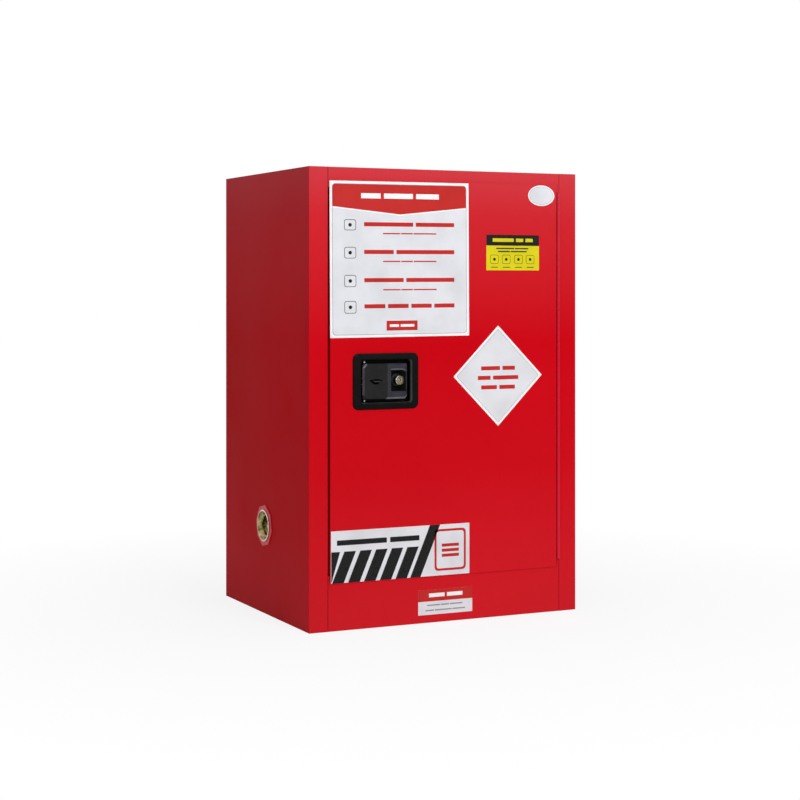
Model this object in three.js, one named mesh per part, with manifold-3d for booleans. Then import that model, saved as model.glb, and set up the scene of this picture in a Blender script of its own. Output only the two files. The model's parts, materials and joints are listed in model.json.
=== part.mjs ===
// Safety cabinet for flammable liquids, about 45 litres, with one door hung on its right.
// Double sheet-steel walls stand round an air space. Inside are a sump pan, one shelf on slotted
// standards and two plugged vents with flame arresters. The door turns on a piano hinge, and the
// paddle in its recessed handle draws a side bolt and two long rods.
// Millimetres. X runs right, Y runs back and Z runs up, for someone who faces the door.

import * as THREE from "three";
import { mergeVertices } from "three/addons/utils/BufferGeometryUtils.js";
import Module from "manifold-3d";

// Steel shell, without what stands out from it
const width = 590;
const depth = 460;
const height = 890;

// Sheet metal and gaps
const sheet = 1.2;
const airSpace = 38;
const seam = 0.3;
const overrun = 3;
const grid = 0.0005;

// Front frame round the door, and the flanges of the shell
const railHeight = 40;
const sillHeight = 107;
const jambDepth = 50;
const linerLap = 8;
const flange = 20;
const rearLip = 30;

// Base, sump and levelling feet
const baseRise = 16.6;
const sumpRise = 57;
const footInsetX = 55;
const footInsetY = 55;
const padRadius = 20;
const padThickness = 6;
const padShoulder = 2;
const padShoulderRadius = 11;
const stemRadius = 4.8;
const stemTop = 50;
const nutAcrossFlats = 17;
const nutHeight = 8;
const threadPlay = 0.6;

// Shelf, slotted standards and clips. The shelf's clips hook into the slot of the given number.
const shelfSlot = 6;
const ledgeDrop = 5.3;
const shelfEdge = 25;
const shelfFrontGap = 16;
const shelfRearGap = 6;
const standardWidth = 25;
const standardDepth = 10;
const standardFrontInset = 58;
const standardRearInset = 59.3;
const standardBottom = 120;
const standardDrop = 60;
const slotWidth = 12;
const slotTall = 6;
const slotPitch = 50;
const firstSlot = 150;
const clipPlate = 1.8;
const clipWidth = 18;
const clipReach = 11.7;
const clipLip = 9.1;
const clipShelfGap = 1.4;
const clipRise = 6;
const tabDepth = 3.3;
const tabPlay = 1;

// Vents: a flange with a neck through both walls, a flame arrester, a gasket and a threaded plug
const leftVentHeight = 178;
const rightVentDrop = 128;
const ventOffset = 2;
const ventAcrossFlats = 82;
const ventFlangeThickness = 2;
const neckRadius = 33;
const neckBore = 29;
const neckLipBore = 25;
const neckInnerReach = 3;
const ventHolePlay = 1;
const gasketThickness = 0.6;
const gasketPlay = 0.4;
const plugRimRadius = 32;
const plugRimThickness = 0.8;
const plugPlay = 0.8;
const plugLength = 19;
const socketRadius = 24;
const socketStepRadius = 20;
const socketStep = 7;
const socketDepth = 14;
const lugLength = 7;
const lugWidth = 8;
const arresterPlay = 0.5;
const arresterLength = 10;
const arresterRim = 4;
const meshThickness = 1.5;
const meshHoleRadius = 4.6;
const meshHolePitch = 13;

// Door
const doorDepth = 38.2;
const skinStandoff = 1;
const topLap = 17;
const bottomLap = 16;
const jambGap = 3.5;
const doorEndGap = 3;
const stiffenerWidth = 30;
const middleStiffenerPlace = 202;
const hingeStiffenerInset = 129.5;

// Piano hinge
const knuckleRadius = 3;
const knuckleLength = 12.7;
const knuckleGap = 0.4;
const hingePinRadius = 1.5;
const hingePinPlay = 0.4;
const hingeProud = 3.3;
const leafWidth = 22;
const leafNotch = 0.5;

// Recessed handle: dish, bezel and paddle. Depths run back from the door's front face.
const handleInset = 117.3;
const handleHeight = 477;
const bezelWidth = 140;
const bezelHeight = 109;
const bezelCorner = 12;
const bezelProud = 4;
const bezelBevel = 1.4;
const dishWidth = 105;
const dishHeight = 82;
const dishCorner = 4;
const dishWall = 2;
const dishFloor = 20;
const dishCutPlay = 1;
const hingeSideGap = 3;
const fingerGap = 7;
const paddleEndGap = 6.5;
const paddleFront = -1;
const paddleThickness = 3;
const paddleChamfer = 8;
const raisedWidth = 41.6;
const raisedProud = 2;
const raisedBevel = 0.9;
const fingerLip = 2.1;
const fingerLipDepth = 7;
const windowWidth = 30.4;
const windowMargin = 2.8;
const windowRise = 14.8;
const windowHeight = 41;
const windowArch = 6;
const windowArchReach = 11;
const eyeSlotLength = 28;
const eyeSlotHeight = 5;
const eyeSlotInset = 14.5;

// Paddle pivot, its spring and its tail
const pivotInset = 6.5;
const pivotDepth = 6;
const pivotPinRadius = 2;
const pivotPlay = 0.4;
const barrelRadius = 4.5;
const barrelLength = 11;
const barrelInset = 1.5;
const hubLength = 12;
const paddleSwingAngle = THREE.MathUtils.degToRad(30);
const tailThickness = 4;
const tailHeight = 10;
const tailReach = 30;
const tailPlay = 1.2;
const floorHolePlay = 2;
const pivotWire = 1;
const pivotCoilRadius = 3.2;
const pivotCoilTurns = 5;

// Padlock eye
const eyeThickness = 2.2;
const eyeWidth = 14;
const eyeProud = 8;
const eyeHoleRadius = 3.25;
const eyeHoleInset = 4;
const eyeFoot = 11;
const eyeFootThickness = 1.5;

// Key lock
const lockInset = 12.5;
const lockRise = 1;
const lockFace = 3;
const lockRadius = 9.5;
const lockHolePlay = 0.5;
const lockShoulderRadius = 12.5;
const lockShoulder = 2;
const plugFaceRadius = 6.5;
const plugBorePlay = 0.4;
const keyholeWidth = 1.6;
const keyholeHeight = 8;
const keyholeDepth = 3;
const camNeckRadius = 4;
const camNeckReach = 4;
const camThickness = 2;
const camWidth = 9;
const camHubMargin = 1.2;
const camLength = 22;
const camGap = 1;

// Latch mechanism behind the dish
const latchBase = 1.5;
const latchBaseHeight = 72;
const latchBaseReach = 15;
const slideThickness = 2;
const slideBar = 28;
const slideYoke = 72;
const yokeMargin = 9;
const rivetRadius = 2.5;
const rivetHeadRadius = 4.5;
const rivetHead = 1.5;
const rivetPlay = 0.5;
const leftRivetInset = 20.5;
const rightRivetInset = 35;
const boltHeight = 18;
const boltThickness = 8;
const boltLength = 24;
const boltBevel = 7;
const boltRoot = 8;
const boltSetback = 2;
const boltPlay = 1.5;
const rodRadius = 4;
const rodInset = 32.3;
const rodFrontGap = 0.3;
const rodPinRadius = 3;
const rodPinRise = 25;
const rodEndDrop = 10;
const rodPinPlay = 0.3;
const rodHolePlay = 1;

// Rod guides, and the spring that throws the lower rod
const guideWidth = 24;
const guideFoot = 20;
const guidePlate = 2;
const guideReach = 36;
const guidePlay = 0.5;
const upperGuideDrop = 60;
const lowerGuideRise = 130;
const collarRadius = 6;
const collarLength = 6;
const rodWire = 1.2;
const rodCoilRadius = 5.2;
const rodCoilTurns = 7;
const rodCoilLength = 42;

// Keepers, strike plate, latch cover and ground bolt
const keeperBore = 5;
const keeperRadius = 7.7;
const keeperFlangeRadius = 11;
const keeperFlange = 1.2;
const keeperNeck = 3;
const keeperPlay = 0.4;
const strikePlate = 1.5;
const strikeWidth = 30;
const strikeHeight = 60;
const strikeScrewSpread = 46;
const coverWidth = 150;
const coverHeight = 130;
const coverMargin = 12;
const screwRadius = 3.5;
const screwHead = 1;
const groundInset = 45;
const groundRise = 45;
const groundRadius = 3;
const groundReach = 4.3;
const groundTail = 12;
const groundNutAcrossFlats = 10;
const groundNutHeight = 2.7;
const groundWasherRadius = 7;
const groundWasher = 1;
const groundHolePlay = 0.6;

// Facets of round pieces
const roundSides = 24;
const rodSides = 12;
const octagonSides = 8;
const hexSides = 6;
const knuckleSides = 8;
const smallSides = 6;
const lockSides = 16;
const wireSides = 5;
const coilSteps = 8;
const cornerSteps = 3;
const lensSteps = 6;

// Planes of the shell
const halfWidth = width / 2;
const front = -depth / 2;
const back = depth / 2;
const insideShell = halfWidth - sheet - seam;
const stileEdge = halfWidth - sheet - airSpace;
const frameSpan = stileEdge - seam;
const openingTop = height - railHeight;
const roofUnderside = height - sheet - seam;
const baseTop = baseRise + sheet;
const linerOuter = stileEdge - seam;
const linerInner = linerOuter - sheet;
const linedSpan = linerInner - seam;
const linerFront = front + jambDepth - linerLap;
const backLinerFront = back - sheet - airSpace - sheet;
const linerTop = openingTop - seam;
const linerBottom = baseTop + seam;
const roomBack = backLinerFront - seam;
const panTop = sillHeight - sheet - seam;
const standardTop = height - standardDrop;
const hookHeight = firstSlot + shelfSlot * slotPitch;
const ledgeTop = hookHeight - ledgeDrop;
const shelfBottom = ledgeTop + seam;
const shelfTop = shelfBottom + shelfEdge;

// Planes of the door. doorLeft and doorRight are its edges.
const skinBack = front - skinStandoff;
const skinFront = skinBack - sheet;
const doorBack = skinFront + doorDepth;
const doorTop = openingTop - doorEndGap;
const doorBottom = sillHeight + doorEndGap;
const doorLeft = -stileEdge + jambGap;
const hingeX = stileEdge - seam - knuckleRadius;
const hingeY = front - hingeProud;
const doorRight = hingeX - knuckleRadius - seam;

// Places in the handle's own frame, whose origin is its middle on the door's front face
const handleX = doorLeft + handleInset;
const paddleLeft = -dishWidth / 2 + hingeSideGap;
const paddleRight = dishWidth / 2 - fingerGap;
const paddleHalf = dishHeight / 2 - paddleEndGap;
const paddleBack = paddleFront + paddleThickness;
const pivotX = paddleLeft + pivotInset;
const eyeX = paddleLeft + eyeSlotInset + eyeSlotLength / 2;
const lockX = paddleRight - lockInset;
const dishBack = dishFloor + dishWall;
const latchBaseFront = dishBack + seam;
const slideFront = latchBaseFront + latchBase + seam;
const slideBack = slideFront + slideThickness;
const latchArm = (slideFront + slideBack) / 2 - pivotDepth;
const latchStroke = latchArm * Math.tan(paddleSwingAngle);
const rodX = rodInset - handleInset;
const rodDepth = slideBack + rodFrontGap + rodRadius;
const slideRight = lockX - camLength - camGap;
const boltRest = boltSetback - handleInset - latchStroke;
const rivetXs = [pivotX - leftRivetInset, pivotX + rightRivetInset];
const rodY = skinFront + rodDepth;
const upperGuideZ = doorTop - upperGuideDrop;
const lowerGuideZ = doorBottom + lowerGuideRise;

const finishes = {
  redPaint: { color: 0xc8202c, roughness: 0.38, metalness: 0.1 },
  zincSteel: { color: 0xb4b6b8, roughness: 0.42, metalness: 0.9 },
  passivated: { color: 0xc99a45, roughness: 0.4, metalness: 0.9 },
  blackPlastic: { color: 0x1b1b1d, roughness: 0.55, metalness: 0 },
  rubber: { color: 0x222222, roughness: 0.85, metalness: 0 },
  brass: { color: 0xb8913f, roughness: 0.35, metalness: 0.9 },
  springSteel: { color: 0x8d9094, roughness: 0.35, metalness: 0.9 },
};

const wasm = await Module();
wasm.setup();

// A closed geometry as a solid that can be joined and cut. Its corners lie on a fine grid, so that
// faces meant for one plane share it exactly.
function solid(geometry) {
  geometry.deleteAttribute("normal");
  geometry.deleteAttribute("uv");
  const places = geometry.getAttribute("position").array;
  places.forEach((value, i) => {
    places[i] = Math.round(value / grid) * grid;
  });
  const merged = mergeVertices(geometry);
  const corners = Array.from(merged.index.array);
  const kept = [];
  for (let i = 0; i < corners.length; i += 3) {
    const [a, b, c] = corners.slice(i, i + 3);
    if (a !== b && b !== c && c !== a) kept.push(a, b, c);
  }
  return new wasm.Manifold(
    new wasm.Mesh({
      numProp: 3,
      vertProperties: merged.attributes.position.array,
      triVerts: new Uint32Array(kept),
    }),
  );
}

function join(...solids) {
  return solids.reduce((whole, next) => whole.add(next));
}

function cut(whole, ...tools) {
  return tools.reduce((rest, tool) => rest.subtract(tool), whole);
}

// A solid as a named mesh with a finish of its own
function piece(name, body, finish) {
  const { vertProperties, triVerts } = body.getMesh();
  const geometry = new THREE.BufferGeometry();
  geometry.setAttribute("position", new THREE.BufferAttribute(vertProperties, 3));
  geometry.setIndex(new THREE.BufferAttribute(triVerts, 1));
  geometry.computeVertexNormals();
  const mesh = new THREE.Mesh(geometry, new THREE.MeshStandardMaterial(finishes[finish]));
  mesh.name = name;
  return mesh;
}

// Several pieces in one frame, whose origin is at the given place
function assembly([x, y, z], ...pieces) {
  const group = new THREE.Group();
  group.position.set(x, y, z);
  group.add(...pieces);
  return group;
}

// A box between two places on each axis
function block([x0, x1], [y0, y1], [z0, z1]) {
  const box = new THREE.BoxGeometry(x1 - x0, y1 - y0, z1 - z0);
  return solid(box.translate((x0 + x1) / 2, (y0 + y1) / 2, (z0 + z1) / 2));
}

// Turns a geometry made along Y to lie along the named axis
function aim(geometry, axis) {
  if (axis === "x") geometry.rotateZ(-Math.PI / 2);
  if (axis === "z") geometry.rotateX(Math.PI / 2);
  return geometry;
}

// A round or many-sided bar between two places on the named axis, through a point
function bar(axis, radius, [from, to], [x, y, z], sides = roundSides) {
  const cylinder = new THREE.CylinderGeometry(radius, radius, to - from, sides);
  cylinder.translate(0, (from + to) / 2, 0);
  return solid(aim(cylinder, axis).translate(x, y, z));
}

// A turned piece: its profile is pairs of radius and place on the named axis
function turned(profile, axis, [x, y, z], sides = roundSides) {
  const points = profile.map(([radius, place]) => new THREE.Vector2(radius, place));
  return solid(aim(new THREE.LatheGeometry(points, sides), axis).translate(x, y, z));
}

// A flat shape in X and Z, thick along Y
function plateAlongY(shape, [from, to], bevel = 0) {
  const plate = new THREE.ExtrudeGeometry(shape, {
    depth: to - from - 2 * bevel,
    curveSegments: cornerSteps,
    bevelEnabled: bevel > 0,
    bevelThickness: bevel,
    bevelSize: bevel,
    bevelOffset: -bevel,
    bevelSegments: 1,
  });
  return solid(plate.rotateX(Math.PI / 2).translate(0, to - bevel, 0));
}

function polygon(points) {
  return new THREE.Shape(points.map(([a, b]) => new THREE.Vector2(a, b)));
}

// An outline in X and Y raised between two heights
function prism(points, [from, to]) {
  const raised = new THREE.ExtrudeGeometry(polygon(points), { depth: to - from, bevelEnabled: false });
  return solid(raised.translate(0, 0, from));
}

// An outline in Y and Z drawn out between two places on X
function profileAlongX(points, [from, to]) {
  const drawn = new THREE.ExtrudeGeometry(polygon(points), { depth: to - from, bevelEnabled: false });
  return solid(drawn.rotateX(Math.PI / 2).rotateZ(Math.PI / 2).translate(from, 0, 0));
}

// Half an outline as [distance from the middle plane, y], completed by its mirror image
function mirrored(points) {
  return [...points, ...points.map(([x, y]) => [-x, y]).reverse()];
}

// A rectangle with round corners between two places on each of its two axes
function roundedRectangle([a0, a1], [b0, b1], radius) {
  const turn = Math.PI / 2;
  const shape = new THREE.Shape();
  shape.absarc(a1 - radius, b1 - radius, radius, 0, turn);
  shape.absarc(a0 + radius, b1 - radius, radius, turn, 2 * turn);
  shape.absarc(a0 + radius, b0 + radius, radius, 2 * turn, 3 * turn);
  shape.absarc(a1 - radius, b0 + radius, radius, 3 * turn, 4 * turn);
  shape.closePath();
  return shape;
}

// A slot with round ends between two points
function slotShape([a0, b0], [a1, b1], radius) {
  const heading = Math.atan2(b1 - b0, a1 - a0);
  const shape = new THREE.Shape();
  shape.absarc(a1, b1, radius, heading - Math.PI / 2, heading + Math.PI / 2);
  shape.absarc(a0, b0, radius, heading + Math.PI / 2, heading + (3 * Math.PI) / 2);
  shape.closePath();
  return shape;
}

// A lens with two pointed ends on a level line
function lensShape(middle, length, tall) {
  const shape = new THREE.Shape();
  shape.moveTo(middle - length / 2, 0);
  shape.quadraticCurveTo(middle, -tall, middle + length / 2, 0);
  shape.quadraticCurveTo(middle, tall, middle - length / 2, 0);
  return new THREE.Shape(shape.getPoints(lensSteps));
}

// The middle line of a coil round Z
class Helix extends THREE.Curve {
  constructor(radius, rise, turns) {
    super();
    Object.assign(this, { radius, rise, turns });
  }

  getPoint(share, target = new THREE.Vector3()) {
    const angle = share * this.turns * 2 * Math.PI;
    return target.set(this.radius * Math.cos(angle), this.radius * Math.sin(angle), share * this.rise);
  }
}

// The least gap between one stretch of a coil and the next, measured on points
function leastGap(helix, wire) {
  const points = helix.getPoints(helix.turns * coilSteps * 2);
  let least = Infinity;
  points.forEach((point, i) => {
    points.slice(i + coilSteps).forEach((other) => {
      least = Math.min(least, point.distanceTo(other) - wire);
    });
  });
  return least;
}

// A coil of round wire that stands on a point and rises along Z
function coil(name, radius, wire, turns, tall, [x, y, z]) {
  const helix = new Helix(radius, tall - wire, turns);
  const section = polygon(
    Array.from({ length: wireSides }, (_, i) => {
      const angle = (i * 2 * Math.PI) / wireSides;
      return [(wire / 2) * Math.cos(angle), (wire / 2) * Math.sin(angle)];
    }),
  );
  const tube = new THREE.ExtrudeGeometry(section, { steps: turns * coilSteps, extrudePath: helix });
  console.log(name + ": least gap between turns " + leastGap(helix, wire).toFixed(2) + " mm");
  return solid(tube.translate(x, y, z + wire / 2));
}

// Distances from the middle plane as a range of X: side is -1 for left and 1 for right
function across(side, inner, outer) {
  return side < 0 ? [-outer, -inner] : [inner, outer];
}

function around(middle, size) {
  return [middle - size / 2, middle + size / 2];
}

function acrossFlatsRadius(acrossFlats, sides) {
  return acrossFlats / 2 / Math.cos(Math.PI / sides);
}

// The height of each side's vent
function ventHeight(side) {
  return side < 0 ? leftVentHeight : height - rightVentDrop;
}

function ventHole(side) {
  const reach = across(side, linerInner - overrun, halfWidth + overrun);
  return bar("x", neckRadius + ventHolePlay, reach, [0, ventOffset, ventHeight(side)]);
}

// The bolt's way through the jamb and the strike plate
function boltWay(reach) {
  const depths = [slideFront - boltPlay, slideFront + boltThickness + boltPlay];
  const heights = around(handleHeight, boltHeight + 2 * boltPlay);
  return block(reach, depths.map((t) => skinFront + t), heights);
}

// One side of the shell: side sheet, front stile, jamb return, and rear and bottom flanges. Its
// outlines are pairs of distance from the middle plane and Y, stacked from the floor up.
function sidePanel(side) {
  const innerFace = halfWidth - sheet;
  const flangeEdge = halfWidth - flange;
  const footEnd = back - 2 * (sheet + seam) - seam;
  const outside = [[stileEdge, front], [halfWidth, front], [halfWidth, back]];
  const rearReturn = [[flangeEdge, back], [flangeEdge, back - sheet], [innerFace, back - sheet]];
  const foot = [[innerFace, footEnd], [flangeEdge, footEnd], [flangeEdge, front + sheet]];
  const stileBack = [[innerFace, front + sheet], [stileEdge, front + sheet]];
  const jamb = [
    [innerFace, front + sheet],
    [stileEdge + sheet, front + sheet],
    [stileEdge + sheet, front + jambDepth],
    [stileEdge, front + jambDepth],
  ];
  const level = (points, heights) => prism(points.map(([x, y]) => [side * x, y]), heights);
  const panel = join(
    level([...outside, ...rearReturn, ...foot, [stileEdge, front + sheet]], [0, sheet]),
    level([...outside, ...rearReturn, ...stileBack], [sheet, linerBottom]),
    level([...outside, ...rearReturn, ...jamb], [linerBottom, roofUnderside]),
    level([...outside, [innerFace, back], ...stileBack], [roofUnderside, height]),
  );
  if (side < 0) {
    return cut(panel, ventHole(side), boltWay([-stileEdge - sheet - overrun, -stileEdge + overrun]));
  }
  const groundHole = bar(
    "x",
    groundRadius + groundHolePlay,
    [halfWidth - sheet - overrun, halfWidth + overrun],
    [0, back - groundInset, groundRise],
    rodSides,
  );
  return cut(panel, ventHole(side), groundHole);
}

function keeperHole([from, to]) {
  const reach = [from - overrun, to + overrun];
  return bar("z", keeperRadius + keeperPlay, reach, [handleX + rodX, rodY, 0], rodSides);
}

// Roof, front rail with its return, and rear lip
function topPanel() {
  const returnZ = [openingTop, openingTop + sheet];
  const roofZ = [height - sheet, height];
  const lipSpan = halfWidth - flange - seam;
  const roof = mirrored([
    [frameSpan, front],
    [frameSpan, front + sheet + seam],
    [insideShell, front + sheet + seam],
    [insideShell, back],
  ]);
  const panel = join(
    prism(roof, roofZ),
    block([-frameSpan, frameSpan], [front, front + sheet], [returnZ[1], roofZ[0]]),
    block([-frameSpan, frameSpan], [front, front + jambDepth], returnZ),
    block([-lipSpan, lipSpan], [back - sheet, back], [height - rearLip, roofZ[0]]),
  );
  return cut(panel, keeperHole(returnZ));
}

// Front sill with its top return, which is notched for the liners, and its foot
function sillPanel() {
  const returnZ = [sillHeight - sheet, sillHeight];
  const topReturn = mirrored([
    [frameSpan, front],
    [frameSpan, linerFront - seam],
    [linedSpan, linerFront - seam],
    [linedSpan, front + jambDepth],
  ]);
  const panel = join(
    block([-frameSpan, frameSpan], [front, front + flange], [0, sheet]),
    block([-frameSpan, frameSpan], [front, front + sheet], [sheet, returnZ[0]]),
    prism(topReturn, returnZ),
  );
  return cut(panel, keeperHole(returnZ));
}

// Back sheet with a top flange, and a foot between the feet of the side panels
function backPanel() {
  const panelBack = back - sheet - seam;
  const panelFront = panelBack - sheet;
  const flangeFront = panelBack - flange;
  const footSpan = halfWidth - flange - seam;
  const foot = mirrored([
    [footSpan, flangeFront],
    [footSpan, panelFront],
    [insideShell, panelFront],
    [insideShell, panelBack],
  ]);
  const topZ = [roofUnderside - sheet, roofUnderside];
  return join(
    prism(foot, [0, sheet]),
    block([-insideShell, insideShell], [panelFront, panelBack], [sheet, topZ[0]]),
    block([-insideShell, insideShell], [flangeFront, panelBack], topZ),
  );
}

// The four places of the levelling feet, with their names
const footPlaces = [
  ["front_left", -1, -1],
  ["front_right", 1, -1],
  ["rear_left", -1, 1],
  ["rear_right", 1, 1],
].map(([name, sideX, sideY]) => ({
  name,
  x: sideX * (halfWidth - footInsetX),
  y: sideY * (back - footInsetY),
}));

// An upturned tray with a welded nut over each foot
function basePanel() {
  const low = sheet + seam;
  const nearY = front + sheet + seam;
  const farY = back - 2 * (sheet + seam);
  const span = insideShell;
  const tray = cut(
    block([-span, span], [nearY, farY], [low, baseTop]),
    block([sheet - span, span - sheet], [nearY + sheet, farY - sheet], [low - overrun, baseRise]),
  );
  const nutRadius = acrossFlatsRadius(nutAcrossFlats, hexSides);
  const nuts = footPlaces.map(({ x, y }) =>
    bar("z", nutRadius, [baseRise, baseTop + nutHeight], [x, y, 0], hexSides),
  );
  const threads = footPlaces.map(({ x, y }) =>
    bar("z", stemRadius + threadPlay, [low, baseTop + nutHeight + overrun], [x, y, 0], rodSides),
  );
  return cut(join(tray, ...nuts), ...threads);
}

function levellingFoot() {
  const shoulder = padThickness + padShoulder;
  const profile = [
    [0, 0],
    [padRadius, 0],
    [padRadius, padThickness],
    [padShoulderRadius, shoulder],
    [stemRadius, shoulder],
    [stemRadius, stemTop],
    [0, stemTop],
  ];
  return turned(profile, "z", [0, 0, 0], rodSides);
}

function sideLiner(side) {
  const liner = block(
    across(side, linerInner, linerOuter),
    [linerFront, backLinerFront + sheet],
    [linerBottom, linerTop],
  );
  return cut(liner, ventHole(side));
}

function backLiner() {
  const y = [backLinerFront, backLinerFront + sheet];
  return block([-linedSpan, linedSpan], y, [linerBottom, linerTop]);
}

function ceilingLiner() {
  return block([-linedSpan, linedSpan], [linerFront, roomBack], [linerTop - sheet, linerTop]);
}

function sumpPan() {
  return cut(
    block([-linedSpan, linedSpan], [linerFront, roomBack], [sumpRise, panTop]),
    block(
      [sheet - linedSpan, linedSpan - sheet],
      [linerFront + sheet, roomBack - sheet],
      [sumpRise + sheet, panTop + overrun],
    ),
  );
}

// The face of the slotted standards that looks into the room
const standardFace = linedSpan - standardDepth;

// A slotted channel on a side liner
function shelfStandard(side, y) {
  const z = [standardBottom, standardTop];
  const hollowY = around(y, standardWidth - 2 * sheet);
  const channel = cut(
    block(across(side, standardFace, linedSpan), around(y, standardWidth), z),
    block(
      across(side, standardFace + sheet, linedSpan + overrun),
      hollowY,
      [standardBottom - overrun, standardTop + overrun],
    ),
  );
  const count = Math.floor((standardTop - firstSlot) / slotPitch) + 1;
  const slots = Array.from({ length: count }, (_, i) =>
    block(
      across(side, standardFace - overrun, standardFace + sheet + overrun),
      around(y, slotWidth),
      around(firstSlot + i * slotPitch, slotTall),
    ),
  );
  return cut(channel, ...slots);
}

// A clip hooked into a slot, with a ledge under the shelf's edge and a lip behind it
const shelfHalf = standardFace - seam - clipPlate - clipShelfGap;
function shelfClip(side, y) {
  const face = standardFace - seam;
  const ledgeZ = [ledgeTop - clipPlate, ledgeTop];
  return join(
    block(across(side, face - clipPlate, face), around(y, clipWidth), [ledgeZ[0], hookHeight + clipRise]),
    block(across(side, face - clipReach, face), around(y, clipWidth), ledgeZ),
    block(
      across(side, face - clipReach, face - clipReach + clipPlate),
      around(y, clipWidth),
      [ledgeZ[0], ledgeTop + clipLip],
    ),
    block(
      across(side, face - clipPlate, face + tabDepth),
      around(y, slotWidth - 2 * tabPlay),
      around(hookHeight, slotTall - 2 * tabPlay),
    ),
  );
}

function shelfTray() {
  const y = [linerFront + shelfFrontGap, roomBack - shelfRearGap];
  return cut(
    block([-shelfHalf, shelfHalf], y, [shelfBottom, shelfTop]),
    block(
      [sheet - shelfHalf, shelfHalf - sheet],
      [y[0] + sheet, y[1] - sheet],
      [shelfBottom - overrun, shelfTop - sheet],
    ),
  );
}

// Vent pieces lie along X, outward being positive, from the outside of the side sheet
const ventFlangeFace = seam + ventFlangeThickness;
const gasketFace = ventFlangeFace + seam + gasketThickness;
const plugFace = gasketFace + seam + plugRimThickness;
const neckEnd = linerInner - halfWidth - neckInnerReach;

function ventFlange() {
  const octagon = bar(
    "x",
    acrossFlatsRadius(ventAcrossFlats, octagonSides),
    [seam, ventFlangeFace],
    [0, 0, 0],
    octagonSides,
  );
  const neck = bar("x", neckRadius, [neckEnd, ventFlangeFace], [0, 0, 0]);
  const bore = bar("x", neckBore, [neckEnd + meshThickness, ventFlangeFace + overrun], [0, 0, 0]);
  const lipBore = bar("x", neckLipBore, [neckEnd - overrun, 0], [0, 0, 0]);
  return cut(join(octagon, neck), bore, lipBore);
}

// A short cup with a pierced end that stands on the lip in the neck
function ventArrester() {
  const radius = neckBore - arresterPlay;
  const start = neckEnd + meshThickness + seam;
  const meshEnd = start + meshThickness;
  const end = start + arresterLength;
  const cup = cut(
    bar("x", radius, [start, end], [0, 0, 0]),
    bar("x", radius - arresterRim, [meshEnd, end + overrun], [0, 0, 0]),
  );
  const pierced = [start - overrun, meshEnd + overrun];
  const holes = [];
  for (let row = -1; row <= 1; row += 1) {
    const count = 3 - Math.abs(row);
    for (let i = 0; i < count; i += 1) {
      const y = (i - (count - 1) / 2) * meshHolePitch;
      const z = row * meshHolePitch * Math.sin(Math.PI / 3);
      holes.push(bar("x", meshHoleRadius, pierced, [0, y, z], hexSides));
    }
  }
  return cut(cup, ...holes);
}

function ventGasket() {
  const profile = [
    [neckBore + gasketPlay, ventFlangeFace + seam],
    [plugRimRadius, ventFlangeFace + seam],
    [plugRimRadius, gasketFace],
    [neckBore + gasketPlay, gasketFace],
    [neckBore + gasketPlay, ventFlangeFace + seam],
  ];
  return turned(profile, "x", [0, 0, 0]);
}

// A plug with a rim, a stepped socket and two lugs in it for a wrench
function ventPlug() {
  const bodyRadius = neckBore - plugPlay;
  const floor = plugFace - socketDepth;
  const profile = [
    [0, plugFace - plugLength],
    [bodyRadius, plugFace - plugLength],
    [bodyRadius, plugFace - plugRimThickness],
    [plugRimRadius, plugFace - plugRimThickness],
    [plugRimRadius, plugFace],
    [socketRadius, plugFace],
    [socketRadius, plugFace - socketStep],
    [socketStepRadius, plugFace - socketStep],
    [socketStepRadius, floor],
    [0, floor],
  ];
  const lugs = [-1, 1].map((end) =>
    block(
      [floor - seam, plugFace - socketStep / 2],
      end < 0
        ? [-socketRadius - seam, lugLength - socketStepRadius]
        : [socketStepRadius - lugLength, socketRadius + seam],
      around(0, lugWidth),
    ),
  );
  return join(turned(profile, "x", [0, 0, 0]), ...lugs);
}

// The pieces of one vent, in a frame on its side of the cabinet
function vent(side) {
  const name = side < 0 ? "left" : "right";
  const group = assembly(
    [side * halfWidth, ventOffset, ventHeight(side)],
    piece(name + "_vent_flange", ventFlange(), "redPaint"),
    piece(name + "_vent_arrester", ventArrester(), "zincSteel"),
    piece(name + "_vent_gasket", ventGasket(), "rubber"),
    piece(name + "_vent_plug", ventPlug(), "passivated"),
  );
  group.rotation.z = side < 0 ? Math.PI : 0;
  return group;
}

// A stud through the right side with a nut on each face
function groundBolt() {
  const nutRadius = acrossFlatsRadius(groundNutAcrossFlats, hexSides);
  const washer = seam + groundWasher;
  const innerNut = -sheet - seam;
  const centre = [0, 0, 0];
  return join(
    bar("x", groundRadius, [-groundTail, groundReach], centre, rodSides),
    bar("x", groundWasherRadius, [seam, washer], centre, rodSides),
    bar("x", nutRadius, [washer, washer + groundNutHeight], centre, hexSides),
    bar("x", nutRadius, [innerNut - groundNutHeight, innerNut], centre, hexSides),
  );
}

// A flanged bush for a rod's end. up is 1 where the rod rises into it and -1 where it drops into it.
function rodKeeper(up, face) {
  const from = face - up * (seam + keeperFlange);
  const seat = face - up * seam;
  const end = face + up * keeperNeck;
  const range = (a, b) => [Math.min(a, b), Math.max(a, b)];
  const centre = [handleX + rodX, rodY, 0];
  return cut(
    join(
      bar("z", keeperFlangeRadius, range(from, seat), centre, rodSides),
      bar("z", keeperRadius, range(from, end), centre, rodSides),
    ),
    bar("z", keeperBore, range(from - up * overrun, end + up * overrun), centre, rodSides),
  );
}

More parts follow.
